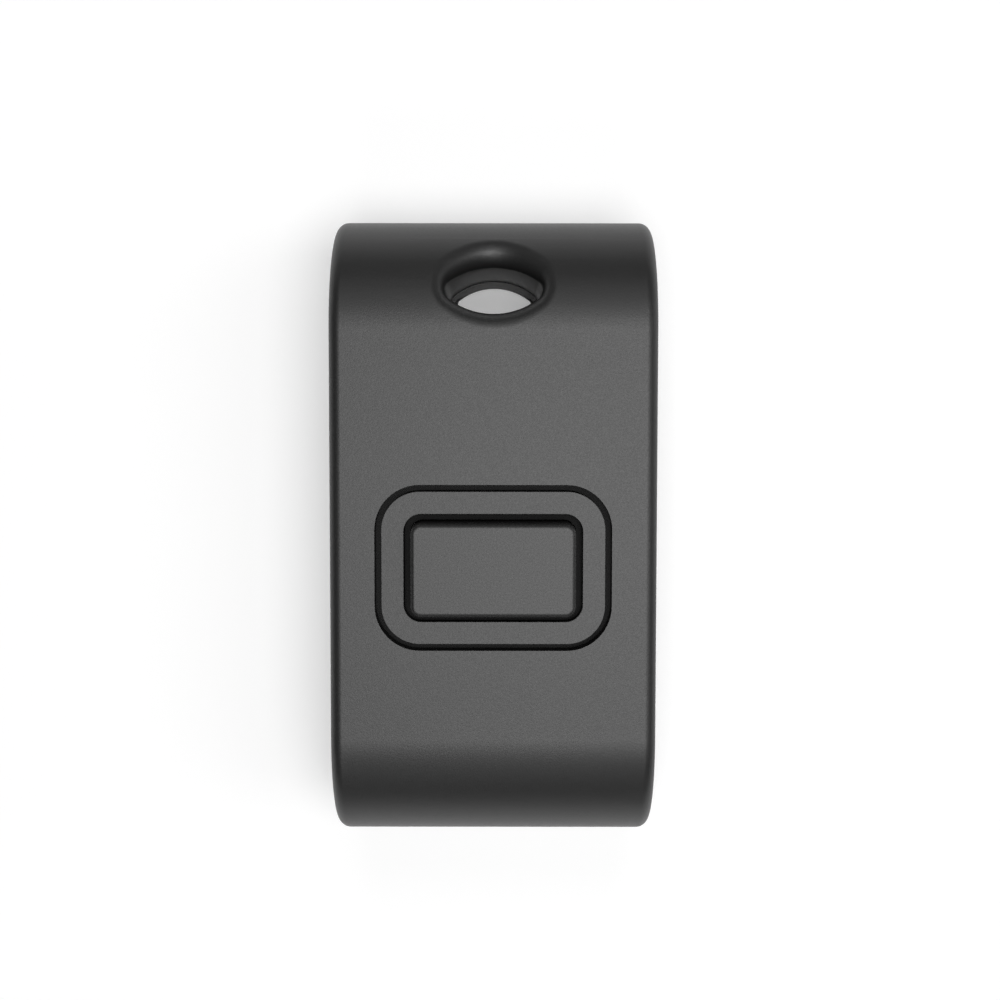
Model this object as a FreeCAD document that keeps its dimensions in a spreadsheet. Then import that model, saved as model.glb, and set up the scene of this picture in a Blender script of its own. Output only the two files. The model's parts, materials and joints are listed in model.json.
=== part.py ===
"""Key fob transmitter with one raised push button and a lens-shaped lanyard hole.

The fob lies on its back. The origin is under its middle, +Z points out of its front face, +Y runs towards the
lanyard hole and X runs across its width. All sizes are in millimetres.
"""
import FreeCAD, Part
import math
import os
import re

import Sketcher
from FreeCAD import Rotation, Vector

# Driving sizes: name, value in millimetres (or a count or degrees) and what it measures
SIZES = [
    # Case
    ("case_width", 32.0, "overall width across the flat sides"),
    ("case_length", 63.0, "overall length from round end to round end"),
    ("wall", 1.8, "wall of both halves of the case"),
    ("side_edge_radius", 1.2, "outer rounding along the flat sides"),
    ("inside_radius", 0.8, "rounding along the inside corners of the case"),
    ("lip_height", 1.2, "lip that the rear cover pushes into the front cover"),
    ("lip_thickness", 0.8, "wall of that lip"),
    ("lip_gap", 0.1, "clearance round the lip"),
    ("lip_corner", 0.35, "inside corner radius of the lip"),
    ("case_seal_height", 0.5, "squeezed height of the seal on the lip"),
    ("joint_bevel", 0.15, "bevel of both halves' outer edge at their joint"),
    # Lanyard hole
    ("hole_from_end", 7.54, "middle of the hole to the end of the case"),
    ("hole_half_height", 2.385, "half of the hole's height at its middle"),
    ("hole_arc_radius", 7.2, "long arcs of the hole"),
    ("hole_tip_radius", 1.2, "rounded tips of the hole"),
    ("hole_mouth_radius", 1.55, "dished rounding of the hole's mouth"),
    ("hole_tube_wall", 1.3, "wall of the tube that lines the hole"),
    ("hole_back_inset", 0.74, "step in from the tube to the hole in the rear cover"),
    ("hole_back_edge", 0.4, "rounding of the hole's rear edge"),
    ("tube_gap", 0.1, "clearance between the tube's end and the rear wall"),
    ("tube_trim_drop", 3.6, "start of the tube's rounded end, below the joint"),
    # Button window and its insert
    ("button_below_middle", 3.1, "button's middle below the middle of the case"),
    ("window_side_margin", 4.45, "window for the insert to the flat side of the case"),
    ("window_length", 16.2, "window for the insert, along"),
    ("window_corner", 4.4, "corner radius of the window"),
    ("reveal", 0.63, "width of the groove round the insert"),
    ("bezel_edge", 0.4, "rounding of the insert's outer edge"),
    ("bezel_flange_margin", 1.8, "flange beyond the window"),
    ("bezel_flange_corner", 1.5, "corner radius of the flange"),
    ("bezel_flange_height", 1.0, "thickness of the flange"),
    ("bezel_seal_height", 0.4, "gasket between flange and front wall"),
    ("bezel_seal_margin", 0.2, "gasket's inner edge outside the window"),
    ("bezel_seal_width", 1.3, "width of the gasket"),
    ("ring_width", 2.22, "level ring round the sunk floor"),
    ("recess_corner", 1.7, "corner radius of the sunk floor"),
    ("recess_depth", 1.3, "depth of the sunk floor below the face"),
    ("stake_diameter", 1.2, "melted pins that hold the insert"),
    ("stake_head_diameter", 2.2, "heads of the melted pins"),
    ("stake_head_height", 0.5, "height of those heads"),
    ("stake_hole_gap", 0.05, "clearance of a pin in the flange"),
    ("stake_inset", 1.35, "pin's middle inside the flange's edge"),
    # Button cap
    ("button_moat", 0.75, "sunk floor seen round the button"),
    ("cap_corner", 1.0, "corner radius of the button"),
    ("cap_edge", 0.45, "rounding of the button's top edge"),
    ("cap_rise", 2.6, "button's top above the face"),
    ("cap_wall", 1.2, "side wall of the hollow button"),
    ("cap_roof", 1.6, "thickness under the button's top"),
    ("cap_side_gap", 0.12, "running clearance round the button"),
    ("cap_flange_margin", 1.0, "catch flange beyond the button's sides"),
    ("cap_flange_height", 0.9, "thickness of the catch flange"),
    ("cap_rest_gap", 0.1, "catch flange below the insert at rest"),
    ("cap_rib", 0.8, "thickness of the ribs inside the button"),
    ("cap_rib_depth", 3.4, "depth of those ribs"),
    ("post_diameter", 3.2, "post that presses the switch"),
    ("post_drop", 0.5, "post's end below the catch flange"),
    ("press_gap", 0.3, "free travel before the switch"),
    # Tactile switch
    ("switch_side", 6.0, "housing of the switch, square"),
    ("switch_height", 4.3, "board to the top of the plunger"),
    ("switch_body_height", 3.1, "height of the housing"),
    ("switch_floor", 0.8, "floor of the housing"),
    ("switch_chamber", 4.6, "bore of the housing"),
    ("switch_frame_height", 0.3, "metal frame on the housing"),
    ("switch_frame_tab", 1.4, "folded tab of the frame, down the housing"),
    ("switch_tab_width", 3.0, "folded tab of the frame, across"),
    ("plunger_diameter", 3.3, "stem of the plunger"),
    ("plunger_flange", 4.2, "flange of the plunger"),
    ("plunger_flange_height", 0.8, "thickness of that flange"),
    ("plunger_tip", 1.6, "tip of the plunger"),
    ("plunger_gap", 0.1, "clearance round the plunger"),
    ("dome_diameter", 4.2, "snap dome across"),
    ("dome_rise", 0.45, "rise of the snap dome"),
    ("dome_sheet", 0.1, "sheet of the snap dome"),
    ("dome_gap", 0.3, "plunger's tip above the dome"),
    ("housing_corner", 0.2, "rounded upright edges of the housing"),
    ("leg_sheet", 0.2, "sheet of the switch's legs"),
    ("leg_width", 0.7, "width of a leg"),
    ("leg_reach", 0.5, "leg's run out of the housing"),
    ("leg_foot", 0.7, "foot of a leg on the board"),
    ("leg_spacing", 4.5, "distance between the legs of one side"),
    # Circuit board
    ("board_thickness", 1.0, "circuit board"),
    ("board_side_gap", 0.6, "board to the side wall"),
    ("board_end_gap", 2.3, "board to the lower end wall"),
    ("board_tube_gap", 0.7, "board to the hole's tube"),
    ("board_corner", 1.5, "corner radius of the board"),
    ("notch_gap", 0.4, "board to the screw bosses"),
    ("notch_corner", 2.4, "corner radius of the board's notches"),
    ("board_hole", 1.9, "screw holes in the board"),
    # Screws and bosses
    ("boss_from_side", 5.0, "case boss from the case's side"),
    ("boss_from_top", 15.9, "upper case bosses from the hole end"),
    ("boss_from_foot", 11.5, "lower case bosses from the lower end"),
    ("boss_diameter", 4.6, "case bosses in the front cover"),
    ("column_diameter", 5.4, "screw columns in the rear cover"),
    ("column_top", 8.0, "where columns and bosses meet, above the back"),
    ("case_screw_diameter", 2.2, "case screws"),
    ("case_screw_length", 12.0, "case screws under the head"),
    ("case_screw_head", 3.7, "head across"),
    ("case_screw_head_height", 1.4, "height of the head"),
    ("counterbore_gap", 0.2, "counterbore round the screw head"),
    ("counterbore_depth", 2.6, "depth of the counterbores"),
    ("screw_slip", 0.15, "clearance hole round a screw"),
    ("screw_fit", 0.02, "pilot hole round a screw"),
    ("pilot_spare", 1.0, "pilot hole beyond a screw's end"),
    ("board_boss_diameter", 3.6, "board bosses in the front cover"),
    ("board_boss_inward", 4.6, "board boss from its case boss, towards the middle"),
    ("board_screw_diameter", 1.6, "board screws"),
    ("board_screw_length", 5.6, "board screws under the head"),
    ("board_screw_head", 2.8, "head across"),
    ("board_screw_head_height", 1.0, "height of the head"),
    ("screw_head_edge", 0.45, "rounding of the screw heads"),
    ("screw_tip", 0.35, "bevel of the screws' ends"),
    ("drive_width", 0.55, "width of a screw's cross recess"),
    ("drive_reach", 0.95, "arm of a screw's cross recess"),
    ("drive_depth", 0.6, "depth of a screw's cross recess"),
    # Cell and contacts
    ("cell_diameter", 10.3, "battery cell across"),
    ("cell_length", 28.5, "battery cell with its button end"),
    ("cell_nub_diameter", 4.2, "button end across"),
    ("cell_nub_height", 1.0, "height of the button end"),
    ("cell_edge", 0.6, "rounding of the cell's shoulders"),
    ("cell_from_foot", 12.75, "cell's flat end from the lower end of the case"),
    ("cell_board_gap", 0.2, "cell to the board"),
    ("cell_floor_gap", 0.4, "cell to the rear wall"),
    ("cradle_gap", 0.1, "cell in its cradle"),
    ("cradle_thickness", 1.4, "cradle ribs"),
    ("cradle_width", 13.0, "cradle ribs across"),
    ("cradle_spacing", 18.0, "distance between the cradle ribs"),
    ("cradle_below_axis", 1.2, "rib's top below the cell's middle"),
    ("contact_sheet", 0.4, "sheet of the contacts"),
    ("contact_bend", 0.4, "inside bend of the contacts"),
    ("contact_width", 6.4, "width of the contacts"),
    ("contact_foot", 2.6, "foot of a contact on the board"),
    ("contact_drop", 8.2, "length of a contact below the board"),
    ("spring_reach", 2.2, "sprung tongue from its plate to the cell"),
    ("spring_width", 4.0, "width of the sprung tongue"),
    ("spring_flat", 2.1, "flat of the tongue against the cell"),
    ("spring_tip_rise", 2.5, "tongue's free tip above the cell's middle"),
    ("spring_tip_back", 0.7, "tongue's free tip from its plate"),
    # Electronics on the board's front
    ("radio_chip_side", 5.0, "radio chip, square"),
    ("radio_chip_height", 0.9, "height of the radio chip"),
    ("radio_chip_left", 6.5, "radio chip left of the middle"),
    ("radio_chip_from_foot", 16.5, "radio chip from the lower end of the case"),
    ("control_chip_width", 3.9, "control chip's body across its legs"),
    ("control_chip_length", 4.9, "control chip's body along its legs"),
    ("control_chip_height", 1.5, "height of the control chip"),
    ("control_chip_right", 5.5, "control chip right of the middle"),
    ("control_chip_from_top", 21.9, "control chip from the hole end"),
    ("chip_legs", 4, "legs on each side of the control chip"),
    ("chip_leg_pitch", 1.27, "spacing of the control chip's legs"),
    ("chip_leg_width", 0.4, "width of those legs"),
    ("chip_leg_reach", 1.05, "reach of those legs"),
    ("chip_stand", 0.15, "control chip's body above the board"),
    ("crystal_length", 11.0, "crystal can along"),
    ("crystal_width", 4.6, "crystal can across"),
    ("crystal_height", 3.4, "height of the crystal can"),
    ("crystal_corner", 2.2, "round ends of the crystal can's rim"),
    ("crystal_flange", 0.5, "rim of the crystal can"),
    ("crystal_right", 4.6, "crystal can right of the middle"),
    ("crystal_from_foot", 16.9, "crystal can from the lower end of the case"),
    ("capacitor_length", 2.0, "chip capacitors along"),
    ("capacitor_width", 1.25, "chip capacitors across"),
    ("capacitor_height", 0.9, "height of the chip capacitors"),
    ("capacitor_edge", 0.12, "rounded edges of the chip capacitors"),
    ("capacitor_left", 5.2, "capacitors left of the middle"),
    ("capacitor_from_top", 17.7, "first capacitor from the hole end"),
    ("capacitor_pitch", 2.4, "spacing of the capacitors"),
    ("antenna_sheet", 0.6, "strip of the loop antenna"),
    ("antenna_width", 1.0, "width of the strip"),
    ("antenna_height", 4.0, "height of the loop above the board"),
    ("antenna_boss_gap", 6.8, "loop's ends to the middles of the case bosses"),
    ("antenna_bend", 1.2, "outer bend radius of the loop"),
    ("antenna_inset", 0.5, "loop inside the board's edge"),
]

# Places worked out from the driving sizes
PLACES = {
    "face": "2*wall + bezel_seal_height + bezel_flange_height + cap_rest_gap + cap_flange_height + post_drop"
            " + press_gap + switch_height + board_thickness + cell_board_gap + cell_diameter + cell_floor_gap",
    "roof": "{face} - wall",
    "split": "({face})/2",
    "inner_round": "({face})/2 - wall",
    "inner_half_width": "case_width/2 - wall",
    "inner_half_length": "case_length/2 - wall",
    "hole_y": "case_length/2 - hole_from_end",
    "button_y": "-button_below_middle",
    "window_across": "case_width - 2*window_side_margin",
    "ring_across": "{window_across} - 2*reveal",
    "ring_along": "window_length - 2*reveal",
    "recess_across": "{ring_across} - 2*ring_width",
    "recess_along": "{ring_along} - 2*ring_width",
    "cap_across": "{recess_across} - 2*button_moat",
    "cap_along": "{recess_along} - 2*button_moat",
    "flange_across": "{window_across} + 2*bezel_flange_margin",
    "flange_along": "window_length + 2*bezel_flange_margin",
    "flange_top": "{roof} - bezel_seal_height",
    "flange_under": "{flange_top} - bezel_flange_height",
    "cap_flange_top": "{flange_under} - cap_rest_gap",
    "cap_flange_under": "{cap_flange_top} - cap_flange_height",
    "post_end": "{cap_flange_under} - post_drop",
    "plunger_top": "{post_end} - press_gap",
    "board_top": "{plunger_top} - switch_height",
    "board_under": "{board_top} - board_thickness",
    "cell_axis": "{board_under} - cell_board_gap - cell_diameter/2",
    "cell_y": "cell_from_foot + cell_length/2 - case_length/2",
    "boss_x": "case_width/2 - boss_from_side",
    "boss_high_y": "case_length/2 - boss_from_top",
    "boss_low_y": "boss_from_foot - case_length/2",
    "board_boss_x": "{boss_x} - board_boss_inward",
    "board_half_width": "{inner_half_width} - board_side_gap",
    "board_low_y": "board_end_gap - {inner_half_length}",
    "board_high_y": "{hole_y} - hole_half_height - hole_tube_wall - board_tube_gap",
    "stake_x": "({flange_across})/2 - stake_inset",
    "stake_off": "({flange_along})/2 - stake_inset",
    "radio_chip_y": "radio_chip_from_foot - case_length/2",
    "crystal_y": "crystal_from_foot - case_length/2",
    "control_chip_y": "case_length/2 - control_chip_from_top",
    "control_leg_y": "{control_chip_y} - (chip_legs - 1)/2*chip_leg_pitch",
    "first_capacitor_y": "case_length/2 - capacitor_from_top",
    "antenna_y": "({boss_high_y} + {boss_low_y})/2",
    "antenna_half_length": "({boss_high_y} - {boss_low_y})/2 - antenna_boss_gap",
}

NOTHING = "0"
TINY = 1e-4


def spell_out(text):
    """Write out every {name} in an expression until only driving sizes are left."""
    while "{" in text:
        text = re.sub(r"\{(\w+)\}", lambda found: "(" + PLACES[found.group(1)] + ")", text)
    return text


document = FreeCAD.newDocument("key_fob_transmitter")
sheet = document.addObject("Spreadsheet::Sheet", "sizes")
for row, (alias, size, meaning) in enumerate(SIZES, start=1):
    sheet.set("A%d" % row, meaning)
    sheet.set("B%d" % row, str(size))
    sheet.setAlias("B%d" % row, alias)
document.recompute()

ALIASES = {alias for alias, _, _ in SIZES}


def value(text):
    """The present value of an expression, in millimetres."""
    return float(sheet.evalExpression(spell_out(text)))


def from_sheet(word):
    """Point one word of an expression at the sheet, if it names a size."""
    name = word.group(0)
    return "sizes." + name if name in ALIASES else name


def bind(target, path, text):
    """Tie one property of an object to an expression of the sheet's sizes."""
    target.setExpression(path, re.sub(r"[a-z_]+", from_sheet, spell_out(text)))


# Bodies, sketches and features

def new_body(name):
    """An empty body whose label names its file."""
    body = document.addObject("PartDesign::Body", name)
    body.Label = name
    return body


def new_sketch(body, name, plane="XY_Plane", height=NOTHING):
    """A sketch on one of the body's origin planes, moved along that plane's normal by height."""
    sketch = body.newObject("Sketcher::SketchObject", name)
    support = [item for item in body.Origin.OriginFeatures if item.Role == plane][0]
    sketch.AttachmentSupport = [(support, "")]
    sketch.MapMode = "FlatFace"
    if height != NOTHING:
        bind(sketch, "AttachmentOffset.Base.z", height)
    return sketch


def drive(sketch, kind, elements, text):
    """Add one constraint and tie its size to an expression."""
    index = sketch.addConstraint(Sketcher.Constraint(kind, *elements, value(text)))
    name = "size_%d" % index
    sketch.renameConstraint(index, name)
    bind(sketch, "Constraints." + name, text)


def pin_point(sketch, geometry, position, x, y):
    """Hold one point of a sketch at x and y."""
    for kind, axis, text in (("DistanceX", -2, x), ("DistanceY", -1, y)):
        if text == NOTHING:
            sketch.addConstraint(Sketcher.Constraint("PointOnObject", geometry, position, axis))
        else:
            drive(sketch, kind, (-1, 1, geometry, position), text)


def draw_circle(sketch, x, y, diameter):
    """A circle about x and y."""
    centre = Vector(value(x), value(y), 0)
    index = sketch.addGeometry(Part.Circle(centre, Vector(0, 0, 1), value(diameter) / 2))
    drive(sketch, "Diameter", (index,), diameter)
    pin_point(sketch, index, 3, x, y)


def draw_polygon(sketch, corners):
    """A closed outline of straight lines through corners given as pairs of expressions."""
    points = [Vector(value(x), value(y), 0) for x, y in corners]
    count = len(points)
    first = sketch.GeometryCount
    for number in range(count):
        sketch.addGeometry(Part.LineSegment(points[number], points[(number + 1) % count]))
    for number in range(count):
        following = first + (number + 1) % count
        sketch.addConstraint(Sketcher.Constraint("Coincident", first + number, 2, following, 1))
    for number, (x, y) in enumerate(corners):
        pin_point(sketch, first + number, 1, x, y)


def draw_box(sketch, x, y, width, length):
    """A rectangle about x and y with sharp corners."""
    left, right = "%s - (%s)/2" % (x, width), "%s + (%s)/2" % (x, width)
    low, high = "%s - (%s)/2" % (y, length), "%s + (%s)/2" % (y, length)
    draw_polygon(sketch, [(left, low), (right, low), (right, high), (left, high)])


def draw_rectangle(sketch, x, y, width, length, corner):
    """A rectangle about x and y whose corners are rounded."""
    left, right = "%s - (%s)/2" % (x, width), "%s + (%s)/2" % (x, width)
    low, high = "%s - (%s)/2" % (y, length), "%s + (%s)/2" % (y, length)
    x0, x1, y0, y1, r = (value(text) for text in (left, right, low, high, corner))
    corners = [(x1 - r, y0 + r, -90), (x1 - r, y1 - r, 0), (x0 + r, y1 - r, 90), (x0 + r, y0 + r, 180)]
    starts = [(x0 + r, y0), (x1, y0 + r), (x1 - r, y1), (x0, y1 - r)]
    ends = [(x1 - r, y0), (x1, y1 - r), (x0 + r, y1), (x0, y0 + r)]
    first = sketch.GeometryCount
    for start, end, (cx, cy, angle) in zip(starts, ends, corners):
        sketch.addGeometry(Part.LineSegment(Vector(*start, 0), Vector(*end, 0)))
        turn = Part.Circle(Vector(cx, cy, 0), Vector(0, 0, 1), r)
        sketch.addGeometry(Part.ArcOfCircle(turn, math.radians(angle), math.radians(angle + 90)))
    for step in range(8):
        following = first + (step + 1) % 8
        sketch.addConstraint(Sketcher.Constraint("Tangent", first + step, 2, following, 1))
    for step, direction in ((0, "Horizontal"), (2, "Vertical"), (4, "Horizontal"), (6, "Vertical")):
        sketch.addConstraint(Sketcher.Constraint(direction, first + step))
    for step in (3, 5, 7):
        sketch.addConstraint(Sketcher.Constraint("Equal", first + 1, first + step))
    drive(sketch, "Radius", (first + 1,), corner)
    drive(sketch, "DistanceY", (-1, 1, first, 1), low)
    drive(sketch, "DistanceX", (-1, 1, first + 2, 1), right)
    drive(sketch, "DistanceY", (-1, 1, first + 4, 1), high)
    drive(sketch, "DistanceX", (-1, 1, first + 6, 1), left)


def draw_lens(sketch, inset):
    """The lanyard hole's outline: two long arcs with rounded tips, drawn in by inset."""
    half_height = "hole_half_height - (%s)" % inset
    long_radius = "hole_arc_radius - (%s)" % inset
    tip_radius = "hole_tip_radius - (%s)" % inset
    half, long_arc, tip = value(half_height), value(long_radius), value(tip_radius)
    middle, sink = value("{hole_y}"), long_arc - half
    tip_x = math.sqrt((long_arc - tip) ** 2 - sink ** 2)
    lean = math.atan2(sink, tip_x)
    up = Vector(0, 0, 1)
    arcs = [
        (Vector(0, middle - sink, 0), long_arc, lean, math.pi - lean),
        (Vector(-tip_x, middle, 0), tip, math.pi - lean, math.pi + lean),
        (Vector(0, middle + sink, 0), long_arc, math.pi + lean, 2 * math.pi - lean),
        (Vector(tip_x, middle, 0), tip, -lean, lean),
    ]
    first = sketch.GeometryCount
    for centre, radius, start, end in arcs:
        sketch.addGeometry(Part.ArcOfCircle(Part.Circle(centre, up, radius), start, end))
    for step in range(4):
        following = first + (step + 1) % 4
        sketch.addConstraint(Sketcher.Constraint("Tangent", first + step, 2, following, 1))
    for step, radius in ((0, long_radius), (1, tip_radius)):
        sketch.addConstraint(Sketcher.Constraint("Equal", first + step, first + step + 2))
        drive(sketch, "Radius", (first + step,), radius)
    for step, side in ((0, "-"), (2, "+")):
        centre_y = "{hole_y} %s (%s - (%s))" % (side, long_radius, half_height)
        pin_point(sketch, first + step, 3, NOTHING, centre_y)


def draw_half_round_ended(sketch, half_length, radius, side):
    """The case's side profile from the split outwards: a straight face between two quarter rounds."""
    reach, curve, base = value(half_length), value(radius), value("{split}")
    ends = reach - curve
    outer = base + side * curve
    axis = Vector(0, 0, 1)
    angles = ((90, 180), (0, 90)) if side > 0 else ((180, 270), (270, 360))
    for sign, (start, end) in zip((-1, 1), angles):
        quarter = Part.Circle(Vector(sign * ends, base, 0), axis, curve)
        sketch.addGeometry(Part.ArcOfCircle(quarter, math.radians(start), math.radians(end)))
    sketch.addGeometry(Part.LineSegment(Vector(-ends, outer, 0), Vector(ends, outer, 0)))
    sketch.addGeometry(Part.LineSegment(Vector(-reach, base, 0), Vector(reach, base, 0)))
    low_face, high_face, low_base, high_base = (1, 2, 2, 1) if side > 0 else (2, 1, 1, 2)
    sketch.addConstraint([
        Sketcher.Constraint("Tangent", 0, low_face, 2, 1),
        Sketcher.Constraint("Tangent", 1, high_face, 2, 2),
        Sketcher.Constraint("Coincident", 0, low_base, 3, 1),
        Sketcher.Constraint("Coincident", 1, high_base, 3, 2),
        Sketcher.Constraint("Horizontal", 2),
        Sketcher.Constraint("Horizontal", 3),
        Sketcher.Constraint("PointOnObject", 0, 3, 3),
        Sketcher.Constraint("PointOnObject", 1, 3, 3),
    ])
    drive(sketch, "Radius", (0,), radius)
    drive(sketch, "DistanceX", (-1, 1, 3, 1), "-(%s)" % half_length)
    drive(sketch, "DistanceX", (-1, 1, 3, 2), half_length)
    drive(sketch, "DistanceY", (-1, 1, 3, 1), "{split}")


def feature(body, kind, name, sketch, length, reverse=False, both_ways=False):
    """A pad or pocket of a sketch; a pad goes along the sketch's normal and a pocket against it."""
    made = body.newObject("PartDesign::" + kind, name)
    made.Profile = sketch
    made.Type = "Length"
    bind(made, "Length", length)
    made.Reversed = reverse
    if both_ways:
        made.SideType = "Symmetric"
    before = body.Shape.Volume if body.Shape and not body.Shape.isNull() else 0.0
    document.recompute()
    change = made.Shape.Volume - before
    if (change if kind == "Pad" else -change) < TINY:
        raise RuntimeError("%s of %s changes nothing" % (name, body.Label))
    return made


def pad(body, name, sketch, length, **choice):
    """Add material over a sketch."""
    return feature(body, "Pad", name, sketch, length, **choice)


def pocket(body, name, sketch, length, **choice):
    """Cut material under a sketch."""
    return feature(body, "Pocket", name, sketch, length, **choice)


def dress(body, kind, name, size, chosen):
    """Round or bevel the edges of the body that a test picks."""
    base = body.Tip
    names = ["Edge%d" % (number + 1) for number, edge in enumerate(base.Shape.Edges) if chosen(edge)]
    made = body.newObject("PartDesign::" + kind, name)
    made.Base = (base, names)
    bind(made, "Radius" if kind == "Fillet" else "Size", size)
    document.recompute()
    return made


def near(first, second):
    """Whether two lengths are the same to the eye of the kernel."""
    return abs(first - second) < 1e-3


def is_level(edge, height):
    """Whether an edge lies in one level at this height."""
    return near(edge.BoundBox.ZMin, height) and near(edge.BoundBox.ZMax, height)


def is_upright(edge):
    """Whether an edge is a straight line along Z."""
    box = edge.BoundBox
    return box.XLength < 1e-3 and box.YLength < 1e-3 and box.ZLength > 1e-3


def edge_middle(edge):
    """The point halfway along an edge."""
    return edge.valueAt((edge.FirstParameter + edge.LastParameter) / 2)


def bore(body, name, spots, diameter, height, depth, reverse=False):
    """Round holes of one size at several spots."""
    sketch = new_sketch(body, name + "_outline", height=height)
    for x, y in spots:
        draw_circle(sketch, x, y, diameter)
    return pocket(body, name, sketch, depth, reverse=reverse)


def posts(body, name, spots, diameter, height, length, reverse=False):
    """Round posts of one size at several spots."""
    sketch = new_sketch(body, name + "_outline", height=height)
    for x, y in spots:
        draw_circle(sketch, x, y, diameter)
    return pad(body, name, sketch, length, reverse=reverse)


def slab(body, name, outline, height, length, reverse=False):
    """A pad over one rounded rectangle."""
    sketch = new_sketch(body, name + "_outline", height=height)
    draw_rectangle(sketch, *outline)
    return pad(body, name, sketch, length, reverse=reverse)


def sink(body, name, outline, height, depth, reverse=False):
    """A pocket under one rounded rectangle."""
    sketch = new_sketch(body, name + "_outline", height=height)
    draw_rectangle(sketch, *outline)
    return pocket(body, name, sketch, depth, reverse=reverse)


def move(body, x=NOTHING, y=NOTHING, z=NOTHING):
    """Place a body by expressions."""
    for axis, text in (("x", x), ("y", y), ("z", z)):
        if text != NOTHING:
            bind(body, "Placement.Base." + axis, text)


CASE_SCREWS = [("-({boss_x})", "{boss_high_y}"), ("{boss_x}", "{boss_high_y}"),
               ("-({boss_x})", "{boss_low_y}"), ("{boss_x}", "{boss_low_y}")]
BOARD_SCREWS = [("{board_boss_x}", "{boss_high_y}"), ("-({board_boss_x})", "{boss_low_y}")]
STAKES = [(x, "{button_y} %s ({stake_off})" % side) for x in ("-({stake_x})", "{stake_x}") for side in "-+"]
WINDOW = (NOTHING, "{button_y}", "{window_across}", "window_length", "window_corner")


# The two halves of the case

def along_side(half_width):
    """A test for the long edges of the two flat sides, apart from those in the joint."""
    half, split = value(half_width), value("{split}")

    def test(edge):
        box = edge.BoundBox
        return near(abs(box.XMin), half) and box.XLength < TINY and not is_level(edge, split)

    return test


def case_half(body, side):
    """The outer form of one half: a round-ended profile across the width, its flat sides' edges rounded."""
    profile = new_sketch(body, "side_profile", "YZ_Plane")
    draw_half_round_ended(profile, "case_length/2", "{split}", side)
    pad(body, "outer_form", profile, "case_width", both_ways=True)
    dress(body, "Fillet", "side_edges", "side_edge_radius", along_side("case_width/2"))
    split = value("{split}")
    dress(body, "Chamfer", "joint_bevel", "joint_bevel", lambda edge: is_level(edge, split))


def moulding_core(name, side):
    """The form that hollows out one half, with rounded corners."""
    core = new_body(name)
    profile = new_sketch(core, "core_profile", "YZ_Plane")
    draw_half_round_ended(profile, "{inner_half_length}", "{inner_round}", side)
    pad(core, "core_form", profile, "2*({inner_half_width})", both_ways=True)
    dress(core, "Fillet", "core_edges", "inside_radius", along_side("{inner_half_width}"))
    return core


def hollow_out(body, core):
    """Cut a moulding core out of a body."""
    cut = body.newObject("PartDesign::Boolean", "hollow")
    cut.Type = "Cut"
    cut.setObjects([core])
    document.recompute()


def is_hole_rim(edge):
    """Whether an edge runs round the lanyard hole, across its walls."""
    middle, reach = value("{hole_y}"), value("hole_half_height")
    box = edge.BoundBox
    inside = box.YMin > middle - reach - TINY and box.YMax < middle + reach + TINY
    return inside and abs(box.XMin) < value("hole_arc_radius") and not is_upright(edge)


def make_front_cover():
    """Front half: lens-shaped tube, window, rebate for the lip, bosses and melted pins."""
    body = new_body("front_cover")
    case_half(body, side=1)
    core = moulding_core("front_core", side=1)
    tube = new_sketch(core, "tube_outline", height="{face}")
    draw_lens(tube, "-hole_tube_wall")
    pocket(core, "tube_space", tube, "{face}")
    hollow_out(body, core)

    rebate = new_sketch(body, "rebate_outline", height="{split}")
    draw_rectangle(rebate, NOTHING, NOTHING, "2*({inner_half_width} + lip_thickness + lip_gap)",
                   "2*({inner_half_length} + lip_thickness + lip_gap)", "side_edge_radius")
    draw_rectangle(rebate, NOTHING, NOTHING, "2*({inner_half_width} - lip_gap)",
                   "2*({inner_half_length} - lip_gap)", "inside_radius")
    pocket(body, "rebate", rebate, "lip_height + case_seal_height", reverse=True)

    tail = new_sketch(body, "tube_tail_outline", height="{split}")
    draw_lens(tail, "-hole_tube_wall")
    pad(body, "tube_tail", tail, "{split} - wall", reverse=True)
    trim = new_sketch(body, "tube_trim", "YZ_Plane")
    draw_tube_trim(trim)
    pocket(body, "tube_end", trim, "case_width/2", both_ways=True)

    posts(body, "case_bosses", CASE_SCREWS, "boss_diameter", "{roof}", "{roof} - column_top", reverse=True)
    posts(body, "board_bosses", BOARD_SCREWS, "board_boss_diameter", "{roof}", "{roof} - ({board_top})",
          reverse=True)
    posts(body, "stake_pins", STAKES, "stake_diameter", "{roof}", "{roof} - ({flange_under})", reverse=True)
    posts(body, "stake_heads", STAKES, "stake_head_diameter", "{flange_under}", "stake_head_height",
          reverse=True)
    bore(body, "case_pilots", CASE_SCREWS, "case_screw_diameter + 2*screw_fit", "column_top",
         "counterbore_depth + case_screw_length - column_top + pilot_spare", reverse=True)
    bore(body, "board_pilots", BOARD_SCREWS, "board_screw_diameter + 2*screw_fit", "{board_top}",
         "board_screw_length - board_thickness + pilot_spare", reverse=True)

    window = new_sketch(body, "window_outline", height="{face}")
    draw_rectangle(window, *WINDOW)
    pocket(body, "window", window, "wall")

    hole = new_sketch(body, "hole_outline", height="{face}")
    draw_lens(hole, NOTHING)
    pocket(body, "lanyard_hole", hole, "{face}")
    split = value("{split}")
    dress(body, "Fillet", "hole_mouth", "hole_mouth_radius",
          lambda edge: is_hole_rim(edge) and edge.BoundBox.ZMin > split)
    return body


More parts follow.
